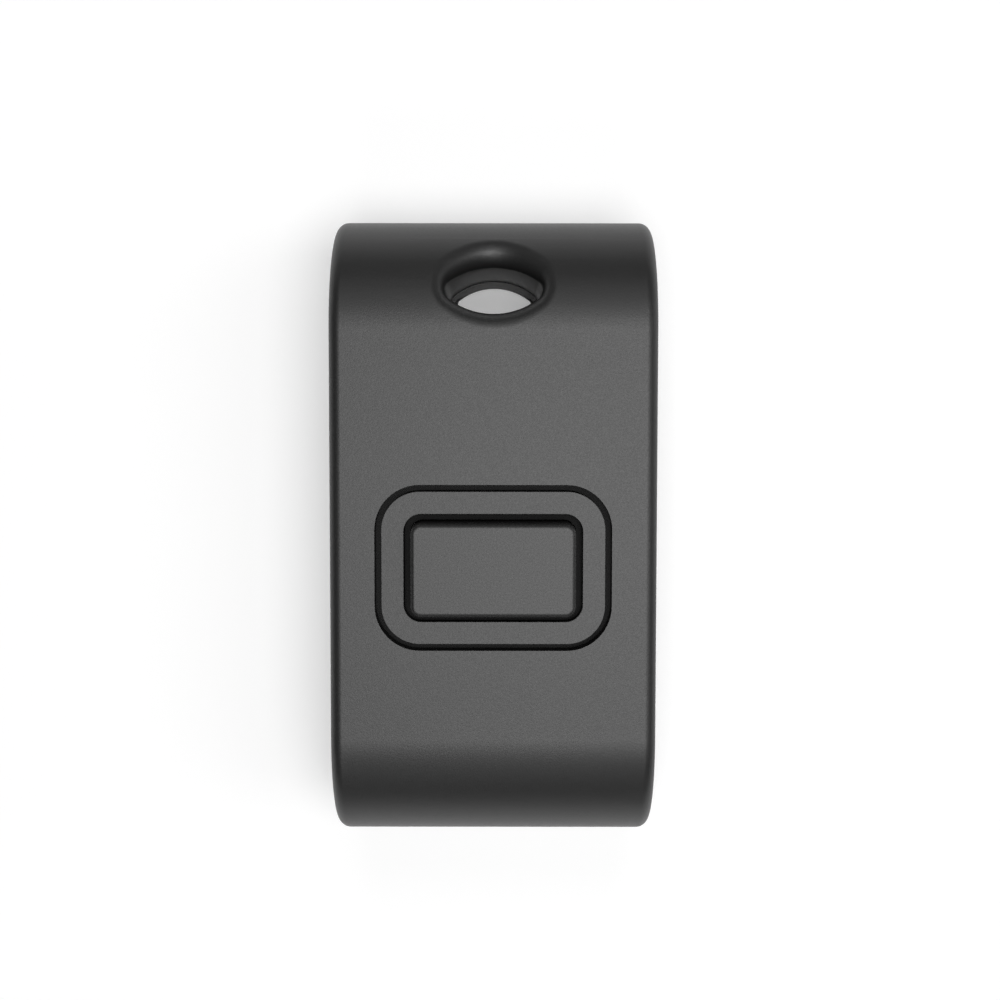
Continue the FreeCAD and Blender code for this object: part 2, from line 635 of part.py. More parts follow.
def draw_tube_trim(sketch):
    """What is cut off the tube so that its end follows the round rear wall with a small gap."""
    centre_y, centre_z = "case_length/2 - ({split})", "{split}"
    radius, far, low = "{inner_round} - tube_gap", "case_length/2 + wall", "-wall"
    reach, middle, curve = value(centre_y), value(centre_z), value(radius)
    angle = -math.asin(value("tube_trim_drop") / curve)
    start = Vector(reach, middle - curve, 0)
    end = Vector(reach + curve * math.cos(angle), middle + curve * math.sin(angle), 0)
    circle = Part.Circle(Vector(reach, middle, 0), Vector(0, 0, 1), curve)
    sketch.addGeometry(Part.ArcOfCircle(circle, -math.pi / 2, angle))
    corners = [end, Vector(value(far), end.y, 0), Vector(value(far), value(low), 0),
               Vector(reach, value(low), 0), start]
    for first, second in zip(corners, corners[1:]):
        sketch.addGeometry(Part.LineSegment(first, second))
    for step in range(5):
        sketch.addConstraint(Sketcher.Constraint("Coincident", step, 2, (step + 1) % 5, 1))
    for step, direction in ((1, "Horizontal"), (2, "Vertical"), (3, "Horizontal"), (4, "Vertical")):
        sketch.addConstraint(Sketcher.Constraint(direction, step))
    pin_point(sketch, 0, 3, centre_y, centre_z)
    drive(sketch, "Radius", (0,), radius)
    drive(sketch, "DistanceX", (-1, 1, 0, 1), centre_y)
    drive(sketch, "DistanceY", (-1, 1, 0, 2), "%s - tube_trim_drop" % centre_z)
    drive(sketch, "DistanceX", (-1, 1, 2, 1), far)
    drive(sketch, "DistanceY", (-1, 1, 3, 1), low)


def make_rear_cover():
    """Rear half: lip, screw columns with counterbores, cell cradle and the back of the lanyard hole."""
    body = new_body("rear_cover")
    case_half(body, side=-1)
    hollow_out(body, moulding_core("rear_core", side=-1))

    lip = new_sketch(body, "lip_outline", height="{split}")
    draw_rectangle(lip, NOTHING, NOTHING, "2*({inner_half_width} + lip_thickness)",
                   "2*({inner_half_length} + lip_thickness)", "side_edge_radius - lip_gap")
    draw_rectangle(lip, NOTHING, NOTHING, "2*({inner_half_width})", "2*({inner_half_length})",
                   "lip_corner")
    pad(body, "lip", lip, "lip_height")

    posts(body, "screw_columns", CASE_SCREWS, "column_diameter", "wall", "column_top - wall")
    bore(body, "screw_holes", CASE_SCREWS, "case_screw_diameter + 2*screw_slip", NOTHING, "column_top",
         reverse=True)
    bore(body, "counterbores", CASE_SCREWS, "case_screw_head + 2*counterbore_gap", NOTHING,
         "counterbore_depth", reverse=True)

    for name, sign in (("low", "-"), ("high", "+")):
        middle = "{cell_y} %s cradle_spacing/2" % sign
        rib = new_sketch(body, "cradle_%s_outline" % name, "XZ_Plane", "-(%s)" % middle)
        half = "cradle_width/2"
        top = "{cell_axis} - cradle_below_axis"
        draw_polygon(rib, [("-" + half, "wall"), (half, "wall"), (half, top), ("-" + half, top)])
        pad(body, "cradle_%s" % name, rib, "cradle_thickness", both_ways=True)
        seat = new_sketch(body, "seat_%s_outline" % name, "XZ_Plane", "-(%s)" % middle)
        draw_circle(seat, NOTHING, "{cell_axis}", "cell_diameter + 2*cradle_gap")
        pocket(body, "seat_%s" % name, seat, "cradle_thickness", both_ways=True)

    hole = new_sketch(body, "hole_outline")
    draw_lens(hole, "hole_back_inset")
    pocket(body, "lanyard_hole", hole, "{split}", reverse=True)
    mid_wall = value("{inner_round} + wall/2")
    centre_y, centre_z = value("case_length/2 - ({split})"), value("{split}")

    def is_outside(edge):
        point = edge_middle(edge)
        return math.hypot(point.y - centre_y, point.z - centre_z) > mid_wall

    dress(body, "Fillet", "hole_back_edge", "hole_back_edge",
          lambda edge: is_hole_rim(edge) and is_outside(edge))
    dress(body, "Chamfer", "hole_lead_in", "hole_back_inset",
          lambda edge: is_hole_rim(edge) and not is_outside(edge))
    return body


# The button insert, its gasket and the button

def make_button_bezel():
    """Insert that fills the window: a ring level with the face, a sunk floor and a flange behind the wall."""
    body = new_body("button_bezel")
    middle = (NOTHING, "{button_y}")
    slab(body, "flange", middle + ("{flange_across}", "{flange_along}", "bezel_flange_corner"),
         "{flange_under}", "bezel_flange_height")
    slab(body, "ring", middle + ("{ring_across}", "{ring_along}", "window_corner - reveal"),
         "{flange_top}", "{face} - ({flange_top})")
    sink(body, "sunk_floor", middle + ("{recess_across}", "{recess_along}", "recess_corner"),
         "{face}", "recess_depth")
    sink(body, "button_opening", middle + ("{cap_across} + 2*cap_side_gap", "{cap_along} + 2*cap_side_gap",
                                           "cap_corner + cap_side_gap"),
         "{face}", "{face} - ({flange_under})")
    bore(body, "stake_holes", STAKES, "stake_diameter + 2*stake_hole_gap", "{flange_top}",
         "bezel_flange_height")
    face, button_y = value("{face}"), value("{button_y}")
    half_across, half_along = value("({recess_across})/2"), value("({recess_along})/2")

    def outside(edge):
        point = edge_middle(edge)
        beyond = abs(point.x) > half_across + TINY or abs(point.y - button_y) > half_along + TINY
        return is_level(edge, face) and beyond

    dress(body, "Fillet", "ring_edge", "bezel_edge", outside)
    return body


def make_bezel_seal():
    """Flat gasket round the window, between the insert's flange and the front wall."""
    body = new_body("bezel_seal")
    outline = new_sketch(body, "gasket_outline", height="{flange_top}")
    inner, outer = "bezel_seal_margin", "(bezel_seal_margin + bezel_seal_width)"
    for margin in (inner, outer):
        draw_rectangle(outline, NOTHING, "{button_y}", "{window_across} + 2*" + margin,
                       "window_length + 2*" + margin, "window_corner + " + margin)
    pad(body, "gasket", outline, "bezel_seal_height")
    return body


def make_button_cap():
    """Hollow push button with a catch flange, a post for the switch and cross ribs."""
    body = new_body("button_cap")
    middle = (NOTHING, "{button_y}")
    slab(body, "sides", middle + ("{cap_across}", "{cap_along}", "cap_corner"), "{cap_flange_under}",
         "{face} + cap_rise - ({cap_flange_under})")
    slab(body, "catch_flange", middle + ("{cap_across} + 2*cap_flange_margin",
                                         "{cap_along} + 2*cap_flange_margin", "cap_corner + cap_flange_margin"),
         "{cap_flange_under}", "cap_flange_height")
    top = value("{face} + cap_rise")
    dress(body, "Fillet", "top_edge", "cap_edge", lambda edge: is_level(edge, top))
    ceiling = "{face} + cap_rise - cap_roof"
    sink(body, "hollow", middle + ("{cap_across} - 2*cap_wall", "{cap_along} - 2*cap_wall", "cap_edge"),
         "{cap_flange_under}", "%s - ({cap_flange_under})" % ceiling, reverse=True)
    ribs = new_sketch(body, "ribs_outline", height=ceiling)
    long_half, short_half, thick = "({cap_across}/2 - cap_wall)", "({cap_along}/2 - cap_wall)", "cap_rib/2"
    low, high = "{button_y} - ", "{button_y} + "
    draw_polygon(ribs, [
        ("-" + long_half, low + thick), ("-" + thick, low + thick), ("-" + thick, low + short_half),
        (thick, low + short_half), (thick, low + thick), (long_half, low + thick),
        (long_half, high + thick), (thick, high + thick), (thick, high + short_half),
        ("-" + thick, high + short_half), ("-" + thick, high + thick), ("-" + long_half, high + thick),
    ])
    pad(body, "ribs", ribs, "cap_rib_depth", reverse=True)
    posts(body, "post", [middle], "post_diameter", ceiling, "%s - ({post_end})" % ceiling, reverse=True)
    return body


# The tactile switch

def switch_square(side):
    """A square outline about the button's middle."""
    return (NOTHING, "{button_y}", side, side, "housing_corner")


def make_switch_housing():
    """Square housing with a round chamber, open to the front."""
    body = new_body("switch_housing")
    slab(body, "block", switch_square("switch_side"), "{board_top}", "switch_body_height")
    bore(body, "chamber", [(NOTHING, "{button_y}")], "switch_chamber", "{board_top} + switch_floor",
         "switch_body_height - switch_floor", reverse=True)
    return body


def make_switch_frame():
    """Sheet metal frame over the housing, with two tabs folded down its sides."""
    body = new_body("switch_frame")
    base = "{board_top} + switch_body_height"
    slab(body, "plate", switch_square("switch_side + 2*switch_frame_height"), base, "switch_frame_height")
    tab_middle = "(switch_side + switch_frame_height)/2"
    tabs = new_sketch(body, "tab_outline", height=base)
    for sign in "-+":
        draw_box(tabs, NOTHING, "{button_y} %s %s" % (sign, tab_middle), "switch_tab_width",
                 "switch_frame_height")
    pad(body, "tabs", tabs, "switch_frame_tab", reverse=True)
    bore(body, "stem_hole", [(NOTHING, "{button_y}")], "plunger_diameter + 2*plunger_gap",
         base + " + switch_frame_height", "switch_frame_height")
    return body


def make_switch_plunger():
    """Stepped round plunger: stem, flange kept in by the frame, and tip over the dome."""
    body = new_body("switch_plunger")
    spot = [(NOTHING, "{button_y}")]
    flange_top = "{board_top} + switch_body_height - plunger_gap"
    tip_end = "{board_top} + switch_floor + dome_sheet + dome_rise + dome_gap"
    posts(body, "flange", spot, "plunger_flange", flange_top, "plunger_flange_height", reverse=True)
    posts(body, "stem", spot, "plunger_diameter", flange_top, "{plunger_top} - (%s)" % flange_top)
    posts(body, "tip", spot, "plunger_tip", "%s - plunger_flange_height" % flange_top,
          "%s - plunger_flange_height - (%s)" % (flange_top, tip_end), reverse=True)
    top = value("{plunger_top}")
    dress(body, "Fillet", "stem_edge", "plunger_gap", lambda edge: is_level(edge, top))
    return body


def make_switch_dome():
    """Thin domed disc on the chamber's floor, turned about the plunger's axis."""
    body = new_body("switch_dome")
    base = "{board_top} + switch_floor"
    outline = new_sketch(body, "dome_outline", "XZ_Plane")
    half, rise, thick = value("dome_diameter/2"), value("dome_rise"), value("dome_sheet")
    floor = value(base)
    radius = (half ** 2 + rise ** 2) / (2 * rise)
    centre = Vector(0, floor + rise - radius, 0)
    rim = math.atan2(floor - centre.y, half)
    up = Vector(0, 0, 1)
    under = Part.Circle(centre, up, radius)
    over = Part.Circle(centre, up, radius + thick)
    outline.addGeometry(Part.ArcOfCircle(under, rim, math.pi / 2))
    outline.addGeometry(Part.ArcOfCircle(over, rim, math.pi / 2))
    ends = [centre + Vector(reach * math.cos(angle), reach * math.sin(angle), 0)
            for angle in (rim, math.pi / 2) for reach in (radius, radius + thick)]
    outline.addGeometry(Part.LineSegment(ends[0], ends[1]))
    outline.addGeometry(Part.LineSegment(ends[2], ends[3]))
    joint = Sketcher.Constraint
    outline.addConstraint([
        joint("Coincident", 0, 1, 2, 1), joint("Coincident", 1, 1, 2, 2),
        joint("Coincident", 0, 2, 3, 1), joint("Coincident", 1, 2, 3, 2),
        joint("Coincident", 0, 3, 1, 3), joint("Vertical", 3), joint("PointOnObject", 0, 3, -2),
        joint("PointOnObject", 0, 2, -2),
    ])
    drive(outline, "DistanceY", (-1, 1, 0, 2), "%s + dome_rise" % base)
    drive(outline, "DistanceY", (-1, 1, 0, 1), base)
    drive(outline, "DistanceX", (-1, 1, 0, 1), "dome_diameter/2")
    drive(outline, "Distance", (3,), "dome_sheet")
    outline.addConstraint(joint("PointOnObject", 0, 3, 2))
    turned = body.newObject("PartDesign::Revolution", "dome")
    turned.Profile = outline
    turned.ReferenceAxis = (outline, ["V_Axis"])
    document.recompute()
    move(body, y="{button_y}")
    return body


def make_switch_terminal(number, side, end):
    """Gull-wing leg: out of the housing, down to the board and out along it."""
    body = new_body("switch_terminal_%d" % number)
    outline = new_sketch(body, "leg_outline", "XZ_Plane")
    out, bend = "leg_reach", "leg_reach - leg_sheet"
    toe, high = "leg_reach + leg_foot", "switch_floor"
    draw_polygon(outline, [
        (NOTHING, high + " - leg_sheet"), (bend, high + " - leg_sheet"), (bend, NOTHING), (toe, NOTHING),
        (toe, "leg_sheet"), (out, "leg_sheet"), (out, high), (NOTHING, high),
    ])
    pad(body, "leg", outline, "leg_width", both_ways=True)
    bind(body, "Placement.Base.x", "%sswitch_side/2" % ("" if side > 0 else "-"))
    if side < 0:
        body.Placement.Rotation = Rotation(Vector(0, 0, 1), 180)
    move(body, y="{button_y} %s leg_spacing/2" % end, z="{board_top}")
    return body


# The circuit board and what is soldered to it

def make_circuit_board():
    """Board with rounded corners, notches round the case bosses and two screw holes."""
    body = new_body("circuit_board")
    middle = "(({board_high_y}) + ({board_low_y}))/2"
    outline = (NOTHING, middle, "2*({board_half_width})", "({board_high_y}) - ({board_low_y})", "board_corner")
    slab(body, "board", outline, "{board_under}", "board_thickness")
    notches = new_sketch(body, "notch_outline", height="{board_top}")
    for side, (_, y) in zip("-+-+", CASE_SCREWS):
        draw_rectangle(notches, "%s({board_half_width})" % side, y,
                       "2*({board_half_width} - ({boss_x})) + boss_diameter + 2*notch_gap",
                       "boss_diameter + 2*notch_gap", "notch_corner")
    pocket(body, "notches", notches, "board_thickness")
    bore(body, "screw_holes", BOARD_SCREWS, "board_hole", "{board_top}", "board_thickness")
    return body


def make_radio_chip():
    """Flat square chip package with bevelled top edges."""
    body = new_body("radio_chip")
    slab(body, "package", ("-radio_chip_left", "{radio_chip_y}", "radio_chip_side", "radio_chip_side",
                           "capacitor_edge"), "{board_top}", "radio_chip_height")
    top = value("{board_top} + radio_chip_height")
    dress(body, "Chamfer", "package_edge", "capacitor_edge", lambda edge: is_level(edge, top))
    return body


def draw_chip_leg(sketch, side, level):
    """One leg of the control chip: out of the body at this level, down, and out along the board."""
    body_side = "control_chip_right %s (control_chip_width/2 + " % side
    root, bend = body_side + "-leg_sheet)", body_side + "chip_leg_reach/2)"
    inner_bend, toe = body_side + "chip_leg_reach/2 - leg_sheet)", body_side + "chip_leg_reach)"
    foot = "{board_top} + leg_sheet"
    draw_polygon(sketch, [
        (root, level), (bend, level), (bend, foot), (toe, foot), (toe, "{board_top}"),
        (inner_bend, "{board_top}"), (inner_bend, level + " - leg_sheet"), (root, level + " - leg_sheet"),
    ])


def make_control_chip():
    """Chip package with four legs on each side, bent down to the board."""
    body = new_body("control_chip")
    base = "{board_top} + chip_stand"
    slab(body, "package", ("control_chip_right", "{control_chip_y}", "control_chip_width",
                           "control_chip_length", "capacitor_edge"), base, "control_chip_height")
    top = value(base + " + control_chip_height")
    dress(body, "Chamfer", "package_edge", "capacitor_edge", lambda edge: is_level(edge, top))
    legs = new_sketch(body, "leg_outline", "XZ_Plane", "-({control_leg_y})")
    for side in "-+":
        draw_chip_leg(legs, side, base + " + control_chip_height/2")
    first = pad(body, "legs", legs, "chip_leg_width", both_ways=True)
    row_of_legs = body.newObject("PartDesign::LinearPattern", "leg_row")
    row_of_legs.Originals = [first]
    row_of_legs.Direction = (legs, ["N_Axis"])
    row_of_legs.Reversed = True
    bind(row_of_legs, "Length", "(chip_legs - 1)*chip_leg_pitch")
    row_of_legs.Occurrences = int(value("chip_legs"))
    body.Tip = row_of_legs
    document.recompute()
    return body


def make_crystal_can():
    """Round-ended metal can on a thin rim, lying along the board."""
    body = new_body("crystal_can")
    spot = ("crystal_right", "{crystal_y}")
    slab(body, "rim", spot + ("crystal_length", "crystal_width", "crystal_corner"), "{board_top}",
         "crystal_flange")
    slab(body, "can", spot + ("crystal_length - 2*crystal_flange", "crystal_width - 2*crystal_flange",
                              "crystal_corner - crystal_flange"),
         "{board_top}", "crystal_height")
    top = value("{board_top} + crystal_height")
    dress(body, "Fillet", "can_edge", "crystal_flange", lambda edge: is_level(edge, top))
    return body


def make_capacitor(number):
    """Small ceramic block with rounded edges."""
    body = new_body("capacitor_%d" % (number + 1))
    slab(body, "block", (NOTHING, NOTHING, "capacitor_length", "capacitor_width", "capacitor_edge"), NOTHING,
         "capacitor_height")
    top = value("capacitor_height")
    dress(body, "Fillet", "block_edge", "capacitor_edge", lambda edge: is_level(edge, top))
    move(body, x="-capacitor_left", y="{first_capacitor_y} - %d*capacitor_pitch" % number, z="{board_top}")
    return body


def make_loop_antenna():
    """Flat strip bent into a low arch along the board's left edge, soldered at both feet."""
    body = new_body("loop_antenna")
    outline = new_sketch(body, "arch_outline", "YZ_Plane")
    half, inner_half = "({antenna_half_length})", "({antenna_half_length} - antenna_sheet)"
    low, high = "{board_top}", "{board_top} + antenna_height"
    middle = "{antenna_y}"
    draw_polygon(outline, [
        (middle + " - " + half, low), (middle + " - " + half, high), (middle + " + " + half, high),
        (middle + " + " + half, low), (middle + " + " + inner_half, low),
        (middle + " + " + inner_half, high + " - antenna_sheet"),
        (middle + " - " + inner_half, high + " - antenna_sheet"), (middle + " - " + inner_half, low),
    ])
    pad(body, "arch", outline, "antenna_width", both_ways=True)
    top, under = value(high), value(high + " - antenna_sheet")

    def outer_bend(edge):
        return edge.BoundBox.XLength > TINY and is_level(edge, top) and edge.BoundBox.YLength < TINY

    def inner_bend(edge):
        return edge.BoundBox.XLength > TINY and is_level(edge, under) and edge.BoundBox.YLength < TINY

    dress(body, "Fillet", "outer_bends", "antenna_bend", outer_bend)
    dress(body, "Fillet", "inner_bends", "antenna_bend - antenna_sheet", inner_bend)
    move(body, x="antenna_inset + antenna_width/2 - ({board_half_width})")
    return body


# The cell and its contacts

def make_battery_cell():
    """Round cell with a small button end, turned about its length."""
    body = new_body("battery_cell")
    profile = new_sketch(body, "cell_profile", "YZ_Plane")
    far, near_end = "cell_length/2", "-cell_length/2"
    shoulder = "cell_length/2 - cell_nub_height"
    draw_polygon(profile, [
        (near_end, NOTHING), (near_end, "cell_diameter/2"), (shoulder, "cell_diameter/2"),
        (shoulder, "cell_nub_diameter/2"), (far, "cell_nub_diameter/2"), (far, NOTHING),
    ])
    turned = body.newObject("PartDesign::Revolution", "can")
    turned.Profile = profile
    turned.ReferenceAxis = (profile, ["H_Axis"])
    document.recompute()
    half, radius = value("cell_length/2"), value("cell_diameter/2")

    def rim(edge):
        box = edge.BoundBox
        return box.YLength < TINY and near(box.ZLength, 2 * radius) and box.YMax < half

    dress(body, "Fillet", "shoulders", "cell_edge", rim)
    move(body, y="{cell_y}", z="{cell_axis}")
    return body


def make_positive_contact():
    """Bent plate: a foot under the board and a blade against the cell's button end."""
    body = new_body("positive_contact")
    outline = new_sketch(body, "blade_outline", "YZ_Plane")
    draw_polygon(outline, [
        (NOTHING, NOTHING), ("contact_foot", NOTHING), ("contact_foot", "-contact_sheet"),
        ("contact_sheet", "-contact_sheet"), ("contact_sheet", "-contact_drop"), (NOTHING, "-contact_drop"),
    ])
    pad(body, "blade", outline, "contact_width", both_ways=True)
    bend_contact(body)
    move(body, y="{cell_y} + cell_length/2", z="{board_under}")
    return body


def bend_contact(body):
    """Round the outer and the inner corner where a contact's foot meets its blade."""
    sheet_level = value("contact_sheet")

    def corner_at(level):
        return lambda edge: (edge.BoundBox.XLength > TINY and is_level(edge, -level)
                             and near(abs(edge.BoundBox.YMin), level))

    dress(body, "Fillet", "bend", "contact_bend + contact_sheet", corner_at(0.0))
    dress(body, "Fillet", "bend_inside", "contact_bend", corner_at(sheet_level))


def make_negative_contact():
    """Bent plate with a foot under the board and a tongue that springs against the cell's flat end."""
    body = new_body("negative_contact")
    outline = new_sketch(body, "blade_outline", "YZ_Plane")
    draw_polygon(outline, [
        (NOTHING, NOTHING), ("-contact_foot", NOTHING), ("-contact_foot", "-contact_sheet"),
        ("-contact_sheet", "-contact_sheet"), ("-contact_sheet", "-contact_drop"), (NOTHING, "-contact_drop"),
    ])
    pad(body, "blade", outline, "contact_width", both_ways=True)
    bend_contact(body)
    tongue = new_sketch(body, "tongue_outline", "YZ_Plane")
    root, middle = "-contact_drop", "-(cell_diameter/2 + cell_board_gap)"
    back = "spring_reach - contact_sheet"
    draw_polygon(tongue, [
        (NOTHING, root), (NOTHING, root + " + contact_sheet"),
        (back, middle + " - spring_flat/2"), (back, middle + " + spring_flat/2"),
        ("spring_tip_back", middle + " + spring_tip_rise"),
        ("spring_tip_back + contact_sheet", middle + " + spring_tip_rise"),
        ("spring_reach", middle + " + spring_flat/2"), ("spring_reach", middle + " - spring_flat/2"),
    ])
    pad(body, "tongue", tongue, "spring_width", both_ways=True)
    move(body, y="{cell_y} - cell_length/2 - spring_reach", z="{board_under}")
    return body


# Seal in the case joint and the screws

def make_case_seal():
    """Seal cord on top of the rear cover's lip, all round the case."""
    body = new_body("case_seal")
    outline = new_sketch(body, "seal_outline", height="{split} + lip_height")
    draw_rectangle(outline, NOTHING, NOTHING, "2*({inner_half_width} + lip_thickness)",
                   "2*({inner_half_length} + lip_thickness)", "side_edge_radius - lip_gap")
    draw_rectangle(outline, NOTHING, NOTHING, "2*({inner_half_width} + lip_gap)",
                   "2*({inner_half_length} + lip_gap)", "lip_corner")
    pad(body, "cord", outline, "case_seal_height")
    return body


def make_screw(name, spot, level, diameter, length, head, head_height):
    """Pan-head screw pointing at the front face, with a cross recess in its head."""
    body = new_body(name)
    posts(body, "shank", [(NOTHING, NOTHING)], diameter, NOTHING, length)
    posts(body, "head", [(NOTHING, NOTHING)], head, NOTHING, head_height, reverse=True)
    under, tip = value("-" + head_height), value(length)
    dress(body, "Fillet", "head_edge", "screw_head_edge", lambda edge: is_level(edge, under))
    dress(body, "Chamfer", "tip_edge", "screw_tip", lambda edge: is_level(edge, tip))
    drive_outline = new_sketch(body, "drive_outline", height="-" + head_height)
    arm, thick = "drive_reach", "drive_width/2"
    draw_polygon(drive_outline, [
        ("-" + arm, "-" + thick), ("-" + thick, "-" + thick), ("-" + thick, "-" + arm), (thick, "-" + arm),
        (thick, "-" + thick), (arm, "-" + thick), (arm, thick), (thick, thick), (thick, arm),
        ("-" + thick, arm), ("-" + thick, thick), ("-" + arm, thick),
    ])
    pocket(body, "drive", drive_outline, "drive_depth", reverse=True)
    move(body, x=spot[0], y=spot[1], z=level)
    return body


def make_screws():
    """The four case screws and the two board screws."""
    case = [make_screw("case_screw_%d" % (number + 1), spot, "counterbore_depth", "case_screw_diameter",
                       "case_screw_length", "case_screw_head", "case_screw_head_height")
            for number, spot in enumerate(CASE_SCREWS)]
    board = [make_screw("board_screw_%d" % (number + 1), spot, "{board_under}", "board_screw_diameter",
                        "board_screw_length", "board_screw_head", "board_screw_head_height")
             for number, spot in enumerate(BOARD_SCREWS)]
    return case + board


def check_document():
    """Stop if any object of the document has failed."""
    for item in document.Objects:
        if "Invalid" in item.State or "Error" in item.State:
            raise RuntimeError("%s has failed" % item.Name)


def main():
    """Build every piece, check it and write its file."""
    legs = [(number + 1, side, end)
            for number, (side, end) in enumerate((side, end) for side in (-1, 1) for end in "-+")]
    pieces = [
        make_front_cover(), make_rear_cover(), make_case_seal(),
        make_button_bezel(), make_bezel_seal(), make_button_cap(),
        make_switch_housing(), make_switch_frame(), make_switch_plunger(), make_switch_dome(),
        make_circuit_board(), make_radio_chip(), make_control_chip(), make_crystal_can(), make_loop_antenna(),
        make_battery_cell(), make_positive_contact(), make_negative_contact(),
    ]
    pieces += [make_switch_terminal(*leg) for leg in legs]
    pieces += [make_capacitor(number) for number in range(4)]
    pieces += make_screws()
    document.recompute()
    check_document()
    for piece in pieces:
        if piece.Shape.isNull() or not piece.Shape.isValid() or len(piece.Shape.Solids) != 1:
            raise RuntimeError("%s has no valid single solid" % piece.Label)
    os.makedirs("parts", exist_ok=True)
    for piece in pieces:
        piece.Shape.exportStep("parts/%s.step" % piece.Label)
        print(piece.Label, round(piece.Shape.Volume, 2))


main()
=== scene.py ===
"""Finish and light the key fob transmitter: moulded shells, button, switch, board, cell and screws.

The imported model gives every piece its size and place. The moulded pieces that show are rebuilt as
smooth shells with softened edges, and every piece gets the finish of the material it is made of.
"""

import json
import logging
import math
from dataclasses import dataclass
from enum import Enum
from typing import Dict, List, Optional, Tuple, Union

import bmesh
import bpy
from mathutils import Matrix, Vector

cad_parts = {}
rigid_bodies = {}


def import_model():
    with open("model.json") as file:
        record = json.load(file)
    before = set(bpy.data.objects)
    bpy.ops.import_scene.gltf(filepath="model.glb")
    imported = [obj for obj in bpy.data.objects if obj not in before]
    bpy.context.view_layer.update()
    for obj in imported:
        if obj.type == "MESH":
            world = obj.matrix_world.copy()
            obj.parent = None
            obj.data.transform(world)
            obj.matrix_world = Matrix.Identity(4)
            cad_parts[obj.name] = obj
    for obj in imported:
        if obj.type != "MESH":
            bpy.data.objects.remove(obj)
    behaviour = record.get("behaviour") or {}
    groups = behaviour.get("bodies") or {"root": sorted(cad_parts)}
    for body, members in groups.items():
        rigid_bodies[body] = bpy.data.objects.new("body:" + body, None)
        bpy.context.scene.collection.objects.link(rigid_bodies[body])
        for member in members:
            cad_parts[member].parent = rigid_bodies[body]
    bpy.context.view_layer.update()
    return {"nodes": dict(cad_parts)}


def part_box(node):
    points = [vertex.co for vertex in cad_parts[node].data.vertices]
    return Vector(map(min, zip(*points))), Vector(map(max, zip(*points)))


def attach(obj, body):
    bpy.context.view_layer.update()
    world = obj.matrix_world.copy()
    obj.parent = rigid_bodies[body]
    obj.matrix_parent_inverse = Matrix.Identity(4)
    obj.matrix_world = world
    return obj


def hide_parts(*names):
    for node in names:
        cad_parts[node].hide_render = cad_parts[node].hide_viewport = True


MM = 0.001

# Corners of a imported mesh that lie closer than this, in metres, are one corner.
MERGE_LENGTH = 1e-7
# Faces that meet at less than this lie in one plane.
FLAT_ANGLE = math.radians(0.2)
# Faces that meet at less than this are shaded as one curved surface.
SMOOTH_ANGLE = math.radians(35)
# Edges sharper than this are softened, in this many steps.
EDGE_ANGLE = math.radians(40)
EDGE_STEPS = 2
# An edge that moves sideways by less than this, in metres, stands upright.
UPRIGHT_LENGTH = 1e-6
# Faces round one corner of a block.
CORNER_STEPS = 32
# Faces round a plug.
PLUG_STEPS = 360

# How far the roughness of moulded plastic swings to either side.
ROUGHNESS_SWING = 0.1
# Strength of each finer layer of noise against the one before.
NOISE_FALLOFF = 0.6
# Half the width of the border between two coats on one piece.
BORDER_MM = 0.02

log = logging.getLogger("key_fob")

Nodes = Dict[str, bpy.types.Object]
Socket = bpy.types.NodeSocket
Span = Tuple[float, float]
Triple = Tuple[float, float, float]


class Body(Enum):
    """The bodies that new pieces ride on."""

    CASE = "case"
    BUTTON = "button"


class Slot(Enum):
    """The record's material slots. No new piece is given one of them here."""

    CASE = "case_plastic"
    BEZEL = "bezel_plastic"
    BUTTON = "button_plastic"


class Join(Enum):
    """How one shape is combined with another."""

    ADD = "UNION"
    CUT = "DIFFERENCE"


def linear(code: str) -> Tuple[float, float, float, float]:
    """Turn an sRGB hex colour into linear light.

    Args:
        code: Colour such as "#2b2b2b".

    Returns:
        Red, green, blue and an alpha of 1.
    """
    parts = [int(code[start:start + 2], 16) / 255 for start in (1, 3, 5)]
    red, green, blue = (part / 12.92 if part <= 0.04045 else ((part + 0.055) / 1.055) ** 2.4
                        for part in parts)
    return red, green, blue, 1.0


def add_node(tree: bpy.types.NodeTree, kind: str, settings: Optional[Dict] = None,
             links: Optional[Dict] = None) -> bpy.types.Node:
    """Add one node to a tree.

    Args:
        tree: The tree to add to.
        kind: The node's type name.
        settings: Values by property name, or by socket name or number.
        links: Output sockets by the input's name or number.

    Returns:
        The new node.
    """
    node = tree.nodes.new(kind)
    for name, setting in (settings or {}).items():
        if isinstance(name, str) and hasattr(node, name):
            setattr(node, name, setting)
        else:
            node.inputs[name].default_value = setting
    for name, source in (links or {}).items():
        tree.links.new(source, node.inputs[name])
    return node


def add_math(tree: bpy.types.NodeTree, operation: str, *values: Union[float, Socket]) -> Socket:
    """Combine values by one operation.

    Args:
        tree: The tree to add to.
        operation: The operation's name.
        values: What it works on, each a number or an output socket.

    Returns:
        The result.
    """
    node = add_node(tree, "ShaderNodeMath", {"operation": operation})
    for number, value in enumerate(values):
        if isinstance(value, float):
            node.inputs[number].default_value = value
        else:
            tree.links.new(value, node.inputs[number])
    return node.outputs[0]


